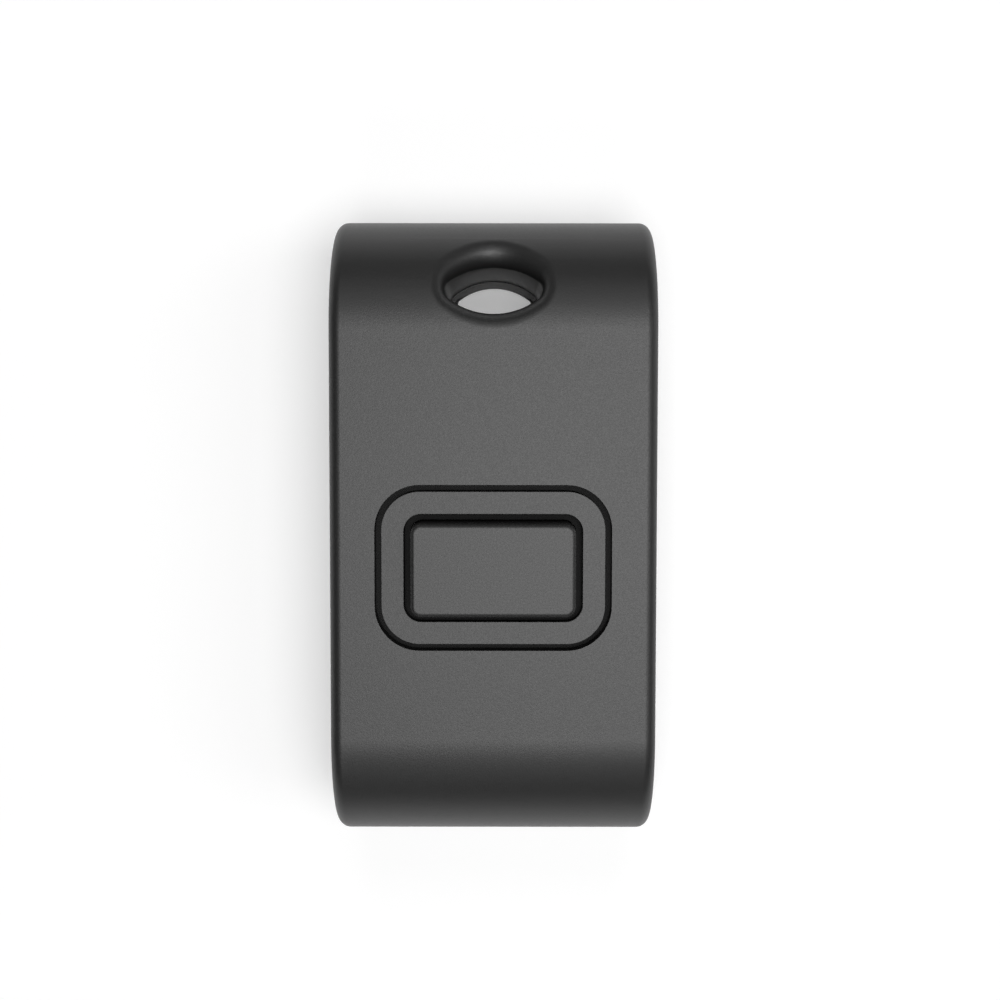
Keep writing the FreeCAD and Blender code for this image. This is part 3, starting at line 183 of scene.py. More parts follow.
class Surface:
    """A material being built: its tree, its shader and its place on the piece."""

    def __init__(self, name: str, roughness: float, metallic: float = 0.0, ior: float = 1.5,
                 specular: float = 0.5) -> None:
        """Start a material.

        Args:
            name: The material's name.
            roughness: How dull the surface is.
            metallic: 1 for a metal.
            ior: Index of refraction.
            specular: Strength of the sheen, 0.5 for the plain one.
        """
        self.material = bpy.data.materials.new(name)
        self.material.use_nodes = True
        self.tree = self.material.node_tree
        self.tree.nodes.clear()
        self.shader = self.node("ShaderNodeBsdfPrincipled", {
            "Roughness": roughness, "Metallic": metallic, "IOR": ior,
            "Specular IOR Level": specular})
        self.node("ShaderNodeOutputMaterial", links={"Surface": self.shader.outputs["BSDF"]})
        place = self.node("ShaderNodeTexCoord")
        self.place = place.outputs["Object"]
        self.facing = place.outputs["Normal"]

    def node(self, kind: str, settings: Optional[Dict] = None,
             links: Optional[Dict] = None) -> bpy.types.Node:
        """Add a node to this material's tree.

        Args:
            kind: The node's type name.
            settings: Values by property name, or by socket name or number.
            links: Output sockets by the input's name or number.

        Returns:
            The new node.
        """
        return add_node(self.tree, kind, settings, links)

    def compute(self, operation: str, *values: Union[float, Socket]) -> Socket:
        """Combine values by one operation in this material's tree.

        Args:
            operation: The operation's name.
            values: What it works on, each a number or an output socket.

        Returns:
            The result.
        """
        return add_math(self.tree, operation, *values)

    def stretched(self, scale: Triple, centre_mm: Triple = (0, 0, 0)) -> Socket:
        """Place the pattern with its own scale along each axis.

        Args:
            scale: Scale along x, y and z.
            centre_mm: The piece's centre.

        Returns:
            The coordinates, which are 0 at the centre.
        """
        shift = tuple(-middle * MM * size for middle, size in zip(centre_mm, scale))
        return self.node("ShaderNodeMapping", {"Location": shift, "Scale": scale},
                         {"Vector": self.place}).outputs["Vector"]

    def part(self, source: Socket, axis: int) -> Socket:
        """Take one coordinate out of three.

        Args:
            source: The coordinates.
            axis: 0, 1 or 2 for x, y or z.

        Returns:
            The coordinate.
        """
        return self.node("ShaderNodeSeparateXYZ", links={0: source}).outputs[axis]

    def from_centre(self, centre_mm: Triple, axis: int) -> Socket:
        """Measure from a piece's centre along one axis.

        Args:
            centre_mm: The piece's centre.
            axis: 0, 1 or 2 for x, y or z.

        Returns:
            The signed distance in metres.
        """
        return self.part(self.stretched((1, 1, 1), centre_mm), axis)

    def noise(self, size_mm: float, detail: float = 3.0, place: Optional[Socket] = None) -> Socket:
        """Add cloudy noise whose lumps are a real size across.

        Args:
            size_mm: Size of the lumps.
            detail: Number of finer layers.
            place: Coordinates, or the piece's own.

        Returns:
            The noise, from 0 to 1.
        """
        return self.node("ShaderNodeTexNoise", {
            "Scale": 1 / (size_mm * MM), "Detail": detail, "Roughness": NOISE_FALLOFF},
            {"Vector": place or self.place}).outputs["Fac"]

    def blend(self, share: Socket, first: Union[str, Socket],
              second: Union[str, Socket]) -> Socket:
        """Mix two colours.

        Args:
            share: Share of the second colour, from 0 to 1.
            first: Hex code or socket of the first colour.
            second: Hex code or socket of the second colour.

        Returns:
            The mixed colour.
        """
        # This node takes its colours at 6 and 7, and gives the mixed one at 2.
        mix = self.node("ShaderNodeMix", {"data_type": "RGBA"}, {0: share})
        for number, colour in ((6, first), (7, second)):
            if isinstance(colour, str):
                mix.inputs[number].default_value = linear(colour)
            else:
                self.tree.links.new(colour, mix.inputs[number])
        return mix.outputs[2]

    def spread(self, source: Socket, target: Span, start: Span = (0.0, 1.0)) -> Socket:
        """Map a value from one span to another.

        Args:
            source: The value.
            target: What the start's two ends become.
            start: The span that the value is read over.

        Returns:
            The mapped value.
        """
        return self.node("ShaderNodeMapRange", {
            "From Min": start[0], "From Max": start[1],
            "To Min": target[0], "To Max": target[1]}, {"Value": source}).outputs["Result"]

    def step(self, distance: Socket, border_mm: float) -> Socket:
        """Change from 0 to 1 where a distance passes a border.

        Args:
            distance: The distance in metres.
            border_mm: Where the border lies.

        Returns:
            0 short of the border and 1 beyond it.
        """
        return self.spread(distance, (0.0, 1.0),
                           ((border_mm - BORDER_MM) * MM, (border_mm + BORDER_MM) * MM))

    def finish(self, colour: Socket, roughness: Socket, relief: Socket, relief_mm: float,
               metallic: Optional[Socket] = None) -> bpy.types.Material:
        """Link what was made to the shader.

        Args:
            colour: Base colour.
            roughness: Roughness.
            relief: Height for the bump, from 0 to 1.
            relief_mm: Depth of the bump.
            metallic: Share of bare metal, where it varies.

        Returns:
            The finished material.
        """
        self.tree.links.new(colour, self.shader.inputs["Base Color"])
        self.tree.links.new(roughness, self.shader.inputs["Roughness"])
        if metallic is not None:
            self.tree.links.new(metallic, self.shader.inputs["Metallic"])
        bump = self.node("ShaderNodeBump", {"Strength": 1.0, "Distance": relief_mm * MM},
                         {"Height": relief})
        self.tree.links.new(bump.outputs["Normal"], self.shader.inputs["Normal"])
        return self.material


@dataclass(frozen=True)
class MouldedPlastic:
    """Injection-moulded plastic from a spark-eroded tool.

    It is black under a soft grey sheen, with a faint even speckle.
    """

    name: str
    tone: str = "#161616"
    fleck: str = "#222222"
    roughness: float = 0.46
    grain_mm: float = 0.16
    grain_depth_mm: float = 0.014
    ior: float = 1.53

    def material(self) -> bpy.types.Material:
        """Build the finish."""
        surface = Surface(self.name, self.roughness, ior=self.ior)
        grain = surface.noise(self.grain_mm)
        gloss = surface.spread(
            grain, (self.roughness - ROUGHNESS_SWING, self.roughness + ROUGHNESS_SWING))
        return surface.finish(surface.blend(grain, self.tone, self.fleck), gloss, grain,
                              self.grain_depth_mm)


@dataclass(frozen=True)
class PaintedShadePlastic:
    """Coarsely eroded ABS of the insert's sunk floors.

    It is dead black, because its pits swallow the light.
    """

    name: str
    tone: str
    pit: str
    sheen: float
    roughness: float = 0.6
    pit_mm: float = 0.12
    pit_depth_mm: float = 0.01

    def material(self) -> bpy.types.Material:
        """Build the finish."""
        surface = Surface(self.name, self.roughness, specular=self.sheen)
        pits = surface.noise(self.pit_mm)
        dulled = surface.spread(
            pits, (self.roughness - ROUGHNESS_SWING, self.roughness + ROUGHNESS_SWING))
        return surface.finish(surface.blend(pits, self.tone, self.pit), dulled, pits,
                              self.pit_depth_mm)


@dataclass(frozen=True)
class Elastomer:
    """Moulded silicone rubber: dull and dark, with a bloom that lies unevenly on it."""

    name: str = "silicone_rubber"
    tone: str = "#1b1b1c"
    bloom: str = "#2c2c2d"
    roughness: float = 0.72
    roughness_span: Span = (0.62, 0.82)
    bloom_mm: float = 1.4
    pore_mm: float = 0.12
    pore_depth_mm: float = 0.008
    ior: float = 1.43

    def material(self) -> bpy.types.Material:
        """Build the finish."""
        surface = Surface(self.name, self.roughness, ior=self.ior)
        bloom = surface.noise(self.bloom_mm)
        pores = surface.noise(self.pore_mm, detail=2.0)
        return surface.finish(surface.blend(bloom, self.tone, self.bloom),
                              surface.spread(bloom, self.roughness_span), pores,
                              self.pore_depth_mm)


@dataclass(frozen=True)
class RolledSteel:
    """Rolled stainless strip: bright, with fine streaks along the way it was rolled."""

    name: str = "rolled_stainless_steel"
    tone: str = "#b4b5b3"
    stain: str = "#9a9b9a"
    roughness: float = 0.3
    roughness_span: Span = (0.22, 0.42)
    stain_mm: float = 2.0
    streak_mm: float = 0.06
    streak_length_mm: float = 2.5
    streak_depth_mm: float = 0.003

    def material(self) -> bpy.types.Material:
        """Build the finish."""
        surface = Surface(self.name, self.roughness, metallic=1.0)
        along = self.streak_mm / self.streak_length_mm
        streaks = surface.noise(self.streak_mm, detail=2.0,
                                place=surface.stretched((1.0, along, 1.0)))
        stains = surface.noise(self.stain_mm)
        return surface.finish(surface.blend(stains, self.tone, self.stain),
                              surface.spread(streaks, self.roughness_span), streaks,
                              self.streak_depth_mm)


@dataclass(frozen=True)
class SolderResist:
    """Green solder resist over copper on woven glass laminate.

    It is glossy, with paler tracks and bare straw-coloured edges.
    """

    name: str = "solder_resist_on_glass_laminate"
    resist: str = "#14522c"
    over_copper: str = "#1d6b3a"
    laminate: str = "#a39c68"
    resist_roughness: float = 0.28
    laminate_roughness: float = 0.7
    track_pitch_mm: float = 2.4
    track_edge: Span = (0.06, 0.09)
    weave_mm: float = 0.45
    weave_share: float = 0.12
    face_tilt: Span = (0.3, 0.5)
    relief_mm: float = 0.02
    ior: float = 1.55

    def material(self) -> bpy.types.Material:
        """Build the finish."""
        surface = Surface(self.name, self.resist_roughness, ior=self.ior)
        sheet = surface.node("ShaderNodeCombineXYZ", links={
            axis: surface.part(surface.place, axis) for axis in (0, 1)}).outputs[0]
        near, far = (
            surface.node("ShaderNodeTexVoronoi", {
                "feature": feature, "distance": "CHEBYCHEV",
                "Scale": 1 / (self.track_pitch_mm * MM)}, {"Vector": sheet}).outputs["Distance"]
            for feature in ("F1", "F2"))
        tracks = surface.spread(surface.compute("SUBTRACT", far, near), (1.0, 0.0),
                                self.track_edge)
        weave = surface.node("ShaderNodeTexChecker", {"Scale": 1 / (self.weave_mm * MM)},
                             {"Vector": sheet}).outputs["Fac"]
        relief = surface.compute("MULTIPLY_ADD", weave, self.weave_share, tracks)
        upright = surface.compute("ABSOLUTE", surface.part(surface.facing, 2))
        face = surface.spread(upright, (0.0, 1.0), self.face_tilt)
        green = surface.blend(tracks, self.resist, self.over_copper)
        gloss = surface.spread(face, (self.laminate_roughness, self.resist_roughness))
        return surface.finish(surface.blend(face, self.laminate, green), gloss, relief,
                              self.relief_mm)


@dataclass(frozen=True)
class MouldedResin:
    """Transfer-moulded epoxy of a chip: black, matte and finely pitted by its filler."""

    name: str = "moulded_epoxy_resin"
    tone: str = "#19191b"
    filler: str = "#2b2b2d"
    roughness: float = 0.55
    roughness_span: Span = (0.5, 0.62)
    cloud_mm: float = 1.1
    filler_mm: float = 0.08
    filler_depth_mm: float = 0.006
    ior: float = 1.55

    def material(self) -> bpy.types.Material:
        """Build the finish."""
        surface = Surface(self.name, self.roughness, ior=self.ior)
        filler = surface.noise(self.filler_mm, detail=2.0)
        clouds = surface.noise(self.cloud_mm)
        return surface.finish(surface.blend(filler, self.tone, self.filler),
                              surface.spread(clouds, self.roughness_span), filler,
                              self.filler_depth_mm)


@dataclass(frozen=True)
class FiredCeramic:
    """Chip capacitor: fired tan ceramic between two dull tinned ends."""

    name: str
    centre_mm: Triple
    end_from_mm: float = 0.65
    body: str = "#8c6a46"
    grain: str = "#77583a"
    tin: str = "#b9b7b0"
    roughness: float = 0.4
    roughness_span: Span = (0.3, 0.5)
    grain_mm: float = 0.1
    grain_depth_mm: float = 0.006
    ior: float = 1.6

    def material(self) -> bpy.types.Material:
        """Build the finish."""
        surface = Surface(self.name, self.roughness, ior=self.ior)
        away = surface.compute("ABSOLUTE", surface.from_centre(self.centre_mm, 0))
        end = surface.step(away, self.end_from_mm)
        grain = surface.noise(self.grain_mm)
        body = surface.blend(grain, self.body, self.grain)
        return surface.finish(surface.blend(end, body, self.tin),
                              surface.spread(grain, self.roughness_span), grain,
                              self.grain_depth_mm, end)


@dataclass(frozen=True)
class TinnedStrip:
    """Brass strip dipped in tin: pale and dull, with the brass showing faintly through."""

    name: str = "tinned_brass_strip"
    tin: str = "#bdbab0"
    brass: str = "#a7935f"
    roughness: float = 0.32
    roughness_span: Span = (0.24, 0.42)
    patch_mm: float = 0.9
    patch_edge: Span = (0.5, 0.75)
    brass_share: float = 0.6
    ripple_mm: float = 0.25
    ripple_depth_mm: float = 0.01

    def material(self) -> bpy.types.Material:
        """Build the finish."""
        surface = Surface(self.name, self.roughness, metallic=1.0)
        patches = surface.noise(self.patch_mm)
        thin = surface.spread(patches, (0.0, self.brass_share), self.patch_edge)
        ripple = surface.noise(self.ripple_mm, detail=1.0)
        return surface.finish(surface.blend(thin, self.tin, self.brass),
                              surface.spread(patches, self.roughness_span), ripple,
                              self.ripple_depth_mm)


@dataclass(frozen=True)
class CellJacket:
    """Cell in a shrunk plastic jacket.

    It is satin grey, with a dark band at one end and bare plated steel at both.
    """

    name: str
    centre_mm: Triple
    half_length_mm: float
    jacket: str = "#6d7074"
    band: str = "#26282b"
    steel: str = "#b7b8b6"
    bare_mm: float = 0.9
    band_mm: float = 6.0
    roughness: float = 0.33
    roughness_span: Span = (0.25, 0.42)
    wrinkle_mm: float = 0.7
    wrinkle_stretch: float = 0.3
    wrinkle_depth_mm: float = 0.012
    ior: float = 1.54

    def material(self) -> bpy.types.Material:
        """Build the finish."""
        surface = Surface(self.name, self.roughness, ior=self.ior)
        along = surface.from_centre(self.centre_mm, 1)
        away = surface.compute("ABSOLUTE", along)
        bare = surface.step(away, self.half_length_mm - self.bare_mm)
        banded = surface.step(along, self.half_length_mm - self.band_mm)
        wrinkle = surface.noise(self.wrinkle_mm,
                                place=surface.stretched((1.0, self.wrinkle_stretch, 1.0)))
        film = surface.blend(banded, self.jacket, self.band)
        return surface.finish(surface.blend(bare, film, self.steel),
                              surface.spread(wrinkle, self.roughness_span), wrinkle,
                              self.wrinkle_depth_mm, bare)


@dataclass(frozen=True)
class ZincPlate:
    """Zinc-plated steel screw: cool grey with the faint rings left by turning."""

    name: str = "zinc_plated_steel"
    tone: str = "#a3a7aa"
    stain: str = "#8b8f92"
    roughness: float = 0.34
    roughness_span: Span = (0.27, 0.42)
    stain_mm: float = 0.8
    ring_mm: float = 0.08
    ring_stretch: float = 0.15
    ring_depth_mm: float = 0.004

    def material(self) -> bpy.types.Material:
        """Build the finish."""
        surface = Surface(self.name, self.roughness, metallic=1.0)
        rings = surface.noise(self.ring_mm, detail=1.0, place=surface.stretched(
            (self.ring_stretch, self.ring_stretch, 1.0)))
        stains = surface.noise(self.stain_mm)
        return surface.finish(surface.blend(stains, self.tone, self.stain),
                              surface.spread(stains, self.roughness_span), rings,
                              self.ring_depth_mm)


def deselect() -> None:
    """Leave nothing selected."""
    for piece in bpy.context.view_layer.objects:
        piece.select_set(False)


def pick(piece: bpy.types.Object) -> None:
    """Select one piece alone and make it the active one.

    Args:
        piece: The piece.
    """
    deselect()
    piece.select_set(True)
    bpy.context.view_layer.objects.active = piece


def apply_modifier(piece: bpy.types.Object, kind: str, settings: Dict) -> None:
    """Give a piece one modifier and apply it.

    Args:
        piece: The piece.
        kind: The modifier's type.
        settings: Values by property name.
    """
    pick(piece)
    modifier = piece.modifiers.new(kind.lower(), kind)
    for name, setting in settings.items():
        setattr(modifier, name, setting)
    bpy.ops.object.modifier_apply(modifier=modifier.name)


def combine(piece: bpy.types.Object, tool: bpy.types.Object, how: Join) -> None:
    """Add a tool's shape to a piece or cut it away, and drop the tool.

    Args:
        piece: The piece, which is changed.
        tool: The tool.
        how: Whether its shape is added or cut away.
    """
    apply_modifier(piece, "BOOLEAN", {"operation": how.value, "solver": "EXACT", "object": tool})
    bpy.data.objects.remove(tool)


def settle(piece: bpy.types.Object) -> None:
    """Put a piece's place and scale into its mesh.

    Args:
        piece: The piece, which is left selected and active.
    """
    pick(piece)
    bpy.ops.object.transform_apply(location=True, rotation=True, scale=True)


def merged_copy(node: bpy.types.Object, name: str) -> bpy.types.Object:
    """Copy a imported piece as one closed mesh.

    Args:
        node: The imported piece.
        name: The new piece's name.

    Returns:
        The new piece.
    """
    shell = bpy.data.objects.new(name, node.data.copy())
    bpy.context.scene.collection.objects.link(shell)
    mesh = bmesh.new()
    mesh.from_mesh(shell.data)
    bmesh.ops.remove_doubles(mesh, verts=mesh.verts, dist=MERGE_LENGTH)
    bmesh.ops.dissolve_limit(mesh, angle_limit=FLAT_ANGLE, verts=mesh.verts, edges=mesh.edges)
    mesh.to_mesh(shell.data)
    mesh.free()
    pick(shell)
    bpy.ops.mesh.customdata_custom_splitnormals_clear()
    bpy.ops.object.shade_smooth()
    return shell


def shade(shell: bpy.types.Object) -> None:
    """Shade a moulding smoothly up to its edges.

    Args:
        shell: The moulding.
    """
    pick(shell)
    bpy.ops.object.shade_smooth_by_angle(angle=SMOOTH_ANGLE)
    apply_modifier(shell, "WEIGHTED_NORMAL", {"keep_sharp": True})


def soften(shell: bpy.types.Object, edge_mm: float) -> None:
    """Round a moulding's edges slightly and shade it smoothly.

    Args:
        shell: The moulding.
        edge_mm: Width of the softened edges.
    """
    apply_modifier(shell, "BEVEL", {
        "width": edge_mm * MM, "segments": EDGE_STEPS, "limit_method": "ANGLE",
        "angle_limit": EDGE_ANGLE, "harden_normals": False})
    shade(shell)


def rounded_block(name: str, half_mm: Span, middle_y_mm: float, corner_mm: float,
                  levels_mm: Span) -> bpy.types.Object:
    """Model a block with rounded upright edges.

    Args:
        name: The block's name.
        half_mm: Half of its width and half of its length.
        middle_y_mm: Its middle along the fob.
        corner_mm: Radius of its upright edges.
        levels_mm: Levels of its lower and upper face.

    Returns:
        The block.
    """
    low, high = levels_mm
    deselect()
    bpy.ops.mesh.primitive_cube_add(
        size=2.0, location=(0, middle_y_mm * MM, (low + high) / 2 * MM),
        scale=(half_mm[0] * MM, half_mm[1] * MM, (high - low) / 2 * MM))
    block = bpy.context.active_object
    block.name = name
    settle(block)
    bpy.ops.object.mode_set(mode="EDIT")
    bpy.ops.mesh.select_mode(type="EDGE")
    bpy.ops.mesh.select_all(action="DESELECT")
    bpy.ops.object.mode_set(mode="OBJECT")
    for edge in block.data.edges:
        first, second = (block.data.vertices[number].co for number in edge.vertices)
        edge.select = (first - second).xy.length < UPRIGHT_LENGTH
    bpy.ops.object.mode_set(mode="EDIT")
    bpy.ops.mesh.bevel(offset=corner_mm * MM, segments=CORNER_STEPS, affect="EDGES")
    bpy.ops.object.mode_set(mode="OBJECT")
    return block


def dress(piece: bpy.types.Object, material: bpy.types.Material) -> None:
    """Give every face of a new piece one material.

    Args:
        piece: The piece.
        material: Its finish.
    """
    piece.data.materials.clear()
    piece.data.materials.append(material)


def place_piece(piece: bpy.types.Object, node: str, body: Body) -> None:
    """Let a new piece stand for a packed one.

    Args:
        piece: The new piece.
        node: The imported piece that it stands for.
        body: The body that carries it.
    """
    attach(piece, body.value)
    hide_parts(node)
    log.info("%s stands for %s on %s, %d faces",
             piece.name, node, body.value, len(piece.data.polygons))


def dress_nodes(nodes: Nodes, names: List[str], material: bpy.types.Material) -> None:
    """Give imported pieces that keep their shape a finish.

    Args:
        nodes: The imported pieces.
        names: Names of the pieces.
        material: Their finish.
    """
    for name in names:
        for holder in nodes[name].material_slots:
            holder.material = material
        log.info("%s keeps its shape, finish %s", name, material.name)


def numbered(name: str, count: int) -> List[str]:
    """List the names of pieces that are numbered from 1.

    Args:
        name: The name before the number.
        count: How many pieces there are.

    Returns:
        The names.
    """
    return [f"{name}_{number}" for number in range(1, count + 1)]


def middle_mm(name: str) -> Triple:
    """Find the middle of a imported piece.

    Args:
        name: The piece's name.

    Returns:
        The middle of its box, in millimetres.
    """
    low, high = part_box(name)
    return tuple((low + high) / 2 / MM)


@dataclass(frozen=True)
class LanyardHole:
    """The lens-shaped hole, whose back half narrows to a nearly flat ledge inside the wall.

    The outline is two arcs that meet in small rounds at the left and the right. All lengths are
    in millimetres, and levels are heights above the back.

    Attributes:
        middle_y: The hole's middle along the fob.
        arc_radius: Radius of the two arcs.
        half_height: From the hole's middle to the top of an arc.
        tip_radius: Radius of the two rounds.
        ledge_level: Level of the ledge.
        ledge_slant: Rise of the ledge towards the end of the case, for each millimetre.
        ring_level: Upper level of the ring that closes the gap round the front half's tube.
        ring_wall: Thickness of that ring.
        proud: How far the ring stands out from the tube's wall, into the hole.
        clear_level: Level that the cutters reach up to, clear of the back half.
    """

    middle_y: float = 23.96
    arc_radius: float = 7.2
    half_height: float = 2.385
    tip_radius: float = 1.2
    ledge_level: float = 2.3
    ledge_slant: float = 0.06
    ring_level: float = 4.75
    ring_wall: float = 0.4
    proud: float = 0.01
    clear_level: float = 6.0

    def reach(self, angle: float, inset: float) -> float:
        """Measure from the hole's middle to its outline.

        Args:
            angle: Direction from the +x axis, in radians.
            inset: How far the outline is drawn in.

        Returns:
            The distance.
        """
        across, along = abs(math.cos(angle)), abs(math.sin(angle))
        offset = self.arc_radius - self.half_height
        radius = self.arc_radius - inset
        distance = math.sqrt(radius ** 2 - (offset * across) ** 2) - offset * along
        tip_middle = math.sqrt((self.arc_radius - self.tip_radius) ** 2 - offset ** 2)
        if distance * across > tip_middle * radius / (self.arc_radius - self.tip_radius):
            tip = self.tip_radius - inset
            distance = tip_middle * across + math.sqrt(tip ** 2 - (tip_middle * along) ** 2)
        return distance

    def plug(self, name: str, low: float, high: float, inset: float,
             slant: float = 0.0) -> bpy.types.Object:
        """Model a plug that fills the hole.

        Args:
            name: The plug's name.
            low: Level of its lower end.
            high: Level of its upper end.
            inset: How far its sides lie inside the hole's outline.
            slant: Rise of its lower end towards the end of the case, for each millimetre.

        Returns:
            The plug.
        """
        deselect()
        bpy.ops.mesh.primitive_cylinder_add(
            vertices=PLUG_STEPS, radius=MM, depth=(high - low) * MM,
            location=(0, self.middle_y * MM, (low + high) / 2 * MM))
        plug = bpy.context.active_object
        plug.name = name
        for corner in plug.data.vertices:
            distance = self.reach(math.atan2(corner.co.y, corner.co.x), inset)
            corner.co.x *= distance
            corner.co.y *= distance
            if corner.co.z < 0:
                corner.co.z += corner.co.y * slant
        settle(plug)
        return plug

    def shape_back(self, shell: bpy.types.Object) -> None:
        """Give the back half its ledge, and a wall that closes up to the front half's tube.

        Args:
            shell: The back half.
        """
        ring = self.plug("back_ring", self.ledge_level, self.ring_level, -self.ring_wall)
        combine(ring, self.plug("ring_bore", 0.0, self.clear_level, self.proud), Join.CUT)
        combine(shell, ring, Join.ADD)
        cutter = self.plug("ledge_cutter", self.ledge_level, self.clear_level, self.proud,
                           self.ledge_slant)
        combine(shell, cutter, Join.CUT)


@dataclass
class CaseShells:
    """The two moulded halves of the case and the seal between them.

    Attributes:
        nodes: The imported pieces.
        edge_mm: Width of the softened edges.
    """

    nodes: Nodes
    edge_mm: float = 0.06

    def build(self) -> None:
        """Model the halves, cut the ledge in the hole's back end, and dress the seal."""
        plastic = MouldedPlastic("moulded_abs_case").material()
        for name in ("front_cover", "rear_cover"):
            shell = merged_copy(self.nodes[name], name + "_shell")
            soften(shell, self.edge_mm)
            if name == "rear_cover":
                LanyardHole().shape_back(shell)
                shade(shell)
            dress(shell, plastic)
            place_piece(shell, name, Body.CASE)
        dress_nodes(self.nodes, ["case_seal"], Elastomer().material())


@dataclass
class ButtonInsert:
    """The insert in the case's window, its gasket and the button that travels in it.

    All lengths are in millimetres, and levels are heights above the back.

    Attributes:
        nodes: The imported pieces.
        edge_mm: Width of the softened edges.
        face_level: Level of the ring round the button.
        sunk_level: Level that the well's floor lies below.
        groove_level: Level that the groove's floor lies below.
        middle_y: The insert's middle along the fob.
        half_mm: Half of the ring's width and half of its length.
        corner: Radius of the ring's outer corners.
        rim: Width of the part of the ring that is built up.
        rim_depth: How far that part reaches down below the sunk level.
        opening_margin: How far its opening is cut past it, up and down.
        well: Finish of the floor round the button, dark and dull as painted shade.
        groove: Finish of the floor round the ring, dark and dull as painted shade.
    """

    nodes: Nodes
    edge_mm: float = 0.08
    face_level: float = 23.0
    sunk_level: float = 22.4
    groove_level: float = 21.3
    middle_y: float = -3.1
    half_mm: Span = (10.91, 7.46)
    corner: float = 3.76
    rim: float = 1.05
    rim_depth: float = 0.2
    opening_margin: float = 0.5
    # Painted shade: the sunk floors get darker, duller finishes than the insert's ring.
    well: PaintedShadePlastic = PaintedShadePlastic("painted_shade_well", "#181818", "#202020", sheen=0.065)
    groove: PaintedShadePlastic = PaintedShadePlastic("painted_shade_groove", "#222222", "#292929", sheen=0.11)

    def build(self) -> None:
        """Model the insert and the button, and dress the gasket."""
        plastic = MouldedPlastic("moulded_abs_insert").material()
        for name, body, slot in (("button_bezel", Body.CASE, Slot.BEZEL),
                                 ("button_cap", Body.BUTTON, Slot.BUTTON)):
            shell = merged_copy(self.nodes[name], name + "_shell")
            if name == "button_bezel":
                self._sharpen(shell)
            soften(shell, self.edge_mm)
            dress(shell, plastic)
            # The insert's sunk floors get painted shade.
            if name == "button_bezel":
                self._paint_floor_shade(shell)
            place_piece(shell, name, body)
        gasket = Elastomer("silicone_gasket", pore_mm=0.2)
        dress_nodes(self.nodes, ["bezel_seal"], gasket.material())

    def _sharpen(self, shell: bpy.types.Object) -> None:
        """Build the ring's outer edge up to the crisp one that the photograph shows.

        Args:
            shell: The insert.
        """
        outside = rounded_block("crisp_rim", self.half_mm, self.middle_y, self.corner,
                                (self.sunk_level - self.rim_depth, self.face_level))
        inside = rounded_block(
            "rim_opening", (self.half_mm[0] - self.rim, self.half_mm[1] - self.rim),
            self.middle_y, self.corner - self.rim,
            (self.sunk_level - self.opening_margin, self.face_level + self.opening_margin))
        combine(outside, inside, Join.CUT)
        combine(shell, outside, Join.ADD)

    def _paint_floor_shade(self, shell: bpy.types.Object) -> None:
        """Paint shade on the sunk floors round the ring and round the button, as dark, dull
        finishes.

        Args:
            shell: The insert, which has the finish of its ring already.
        """
        well, groove = 1, 2
        shell.data.materials.append(self.well.material())
        shell.data.materials.append(self.groove.material())
        # Faces below these levels take the painted shade.
        for face in shell.data.polygons:
            if face.center.z < self.groove_level * MM:
                face.material_index = groove
            elif face.center.z < self.sunk_level * MM:
                face.material_index = well


@dataclass
class TactileSwitch:
    """The switch under the button: housing, frame, dome, plunger and four soldered legs."""

    nodes: Nodes

    def build(self) -> None:
        """Dress the switch's pieces."""
        for names, finish in (
                (["switch_housing"], MouldedPlastic(
                    "glass_filled_nylon", "#1a1a1b", "#2e2e30", roughness=0.5, grain_mm=0.1,
                    grain_depth_mm=0.006)),
                (["switch_plunger"], MouldedPlastic(
                    "moulded_acetal", "#2a2a2b", "#303031", roughness=0.3, grain_mm=0.3,
                    grain_depth_mm=0.003)),
                (["switch_frame", "switch_dome"], RolledSteel(
                    "stamped_stainless_steel", streak_mm=0.05)),
                (numbered("switch_terminal", 4), TinnedStrip("tinned_terminal", patch_mm=0.4))):
            dress_nodes(self.nodes, names, finish.material())


@dataclass
class RadioBoard:
    """The circuit board and what is soldered to it."""

    nodes: Nodes

    def build(self) -> None:
        """Dress the board's pieces."""
        for names, finish in (
                (["circuit_board"], SolderResist()),
                (["radio_chip", "control_chip"], MouldedResin()),
                (["crystal_can"], RolledSteel(
                    "drawn_nickel_silver_can", "#c0beb6", "#a8a69f", streak_mm=0.09,
                    streak_length_mm=1.2)),
                (["loop_antenna"], TinnedStrip())):
            dress_nodes(self.nodes, names, finish.material())
        for name in numbered("capacitor", 4):
            ceramic = FiredCeramic(name.replace("capacitor", "fired_ceramic"), middle_mm(name))
            dress_nodes(self.nodes, [name], ceramic.material())


@dataclass
class PowerCell:
    """The cell and the two leaf contacts that hold it."""

    nodes: Nodes

    def build(self) -> None:
        """Dress the cell and its contacts."""
        low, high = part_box("battery_cell")
        half_length = (high - low).y / 2 / MM
        jacket = CellJacket("shrunk_cell_jacket", middle_mm("battery_cell"), half_length)
        dress_nodes(self.nodes, ["battery_cell"], jacket.material())
        spring = RolledSteel("nickel_plated_spring_steel", "#bdbab2", "#a5a29a", streak_mm=0.05,
                             streak_length_mm=3.0)
        dress_nodes(self.nodes, ["positive_contact", "negative_contact"], spring.material())


@dataclass
class Fasteners:
    """The screws of the case and of the board."""

    nodes: Nodes

    def build(self) -> None:
        """Dress the screws."""
        names = numbered("case_screw", 4) + numbered("board_screw", 2)
        dress_nodes(self.nodes, names, ZincPlate().material())


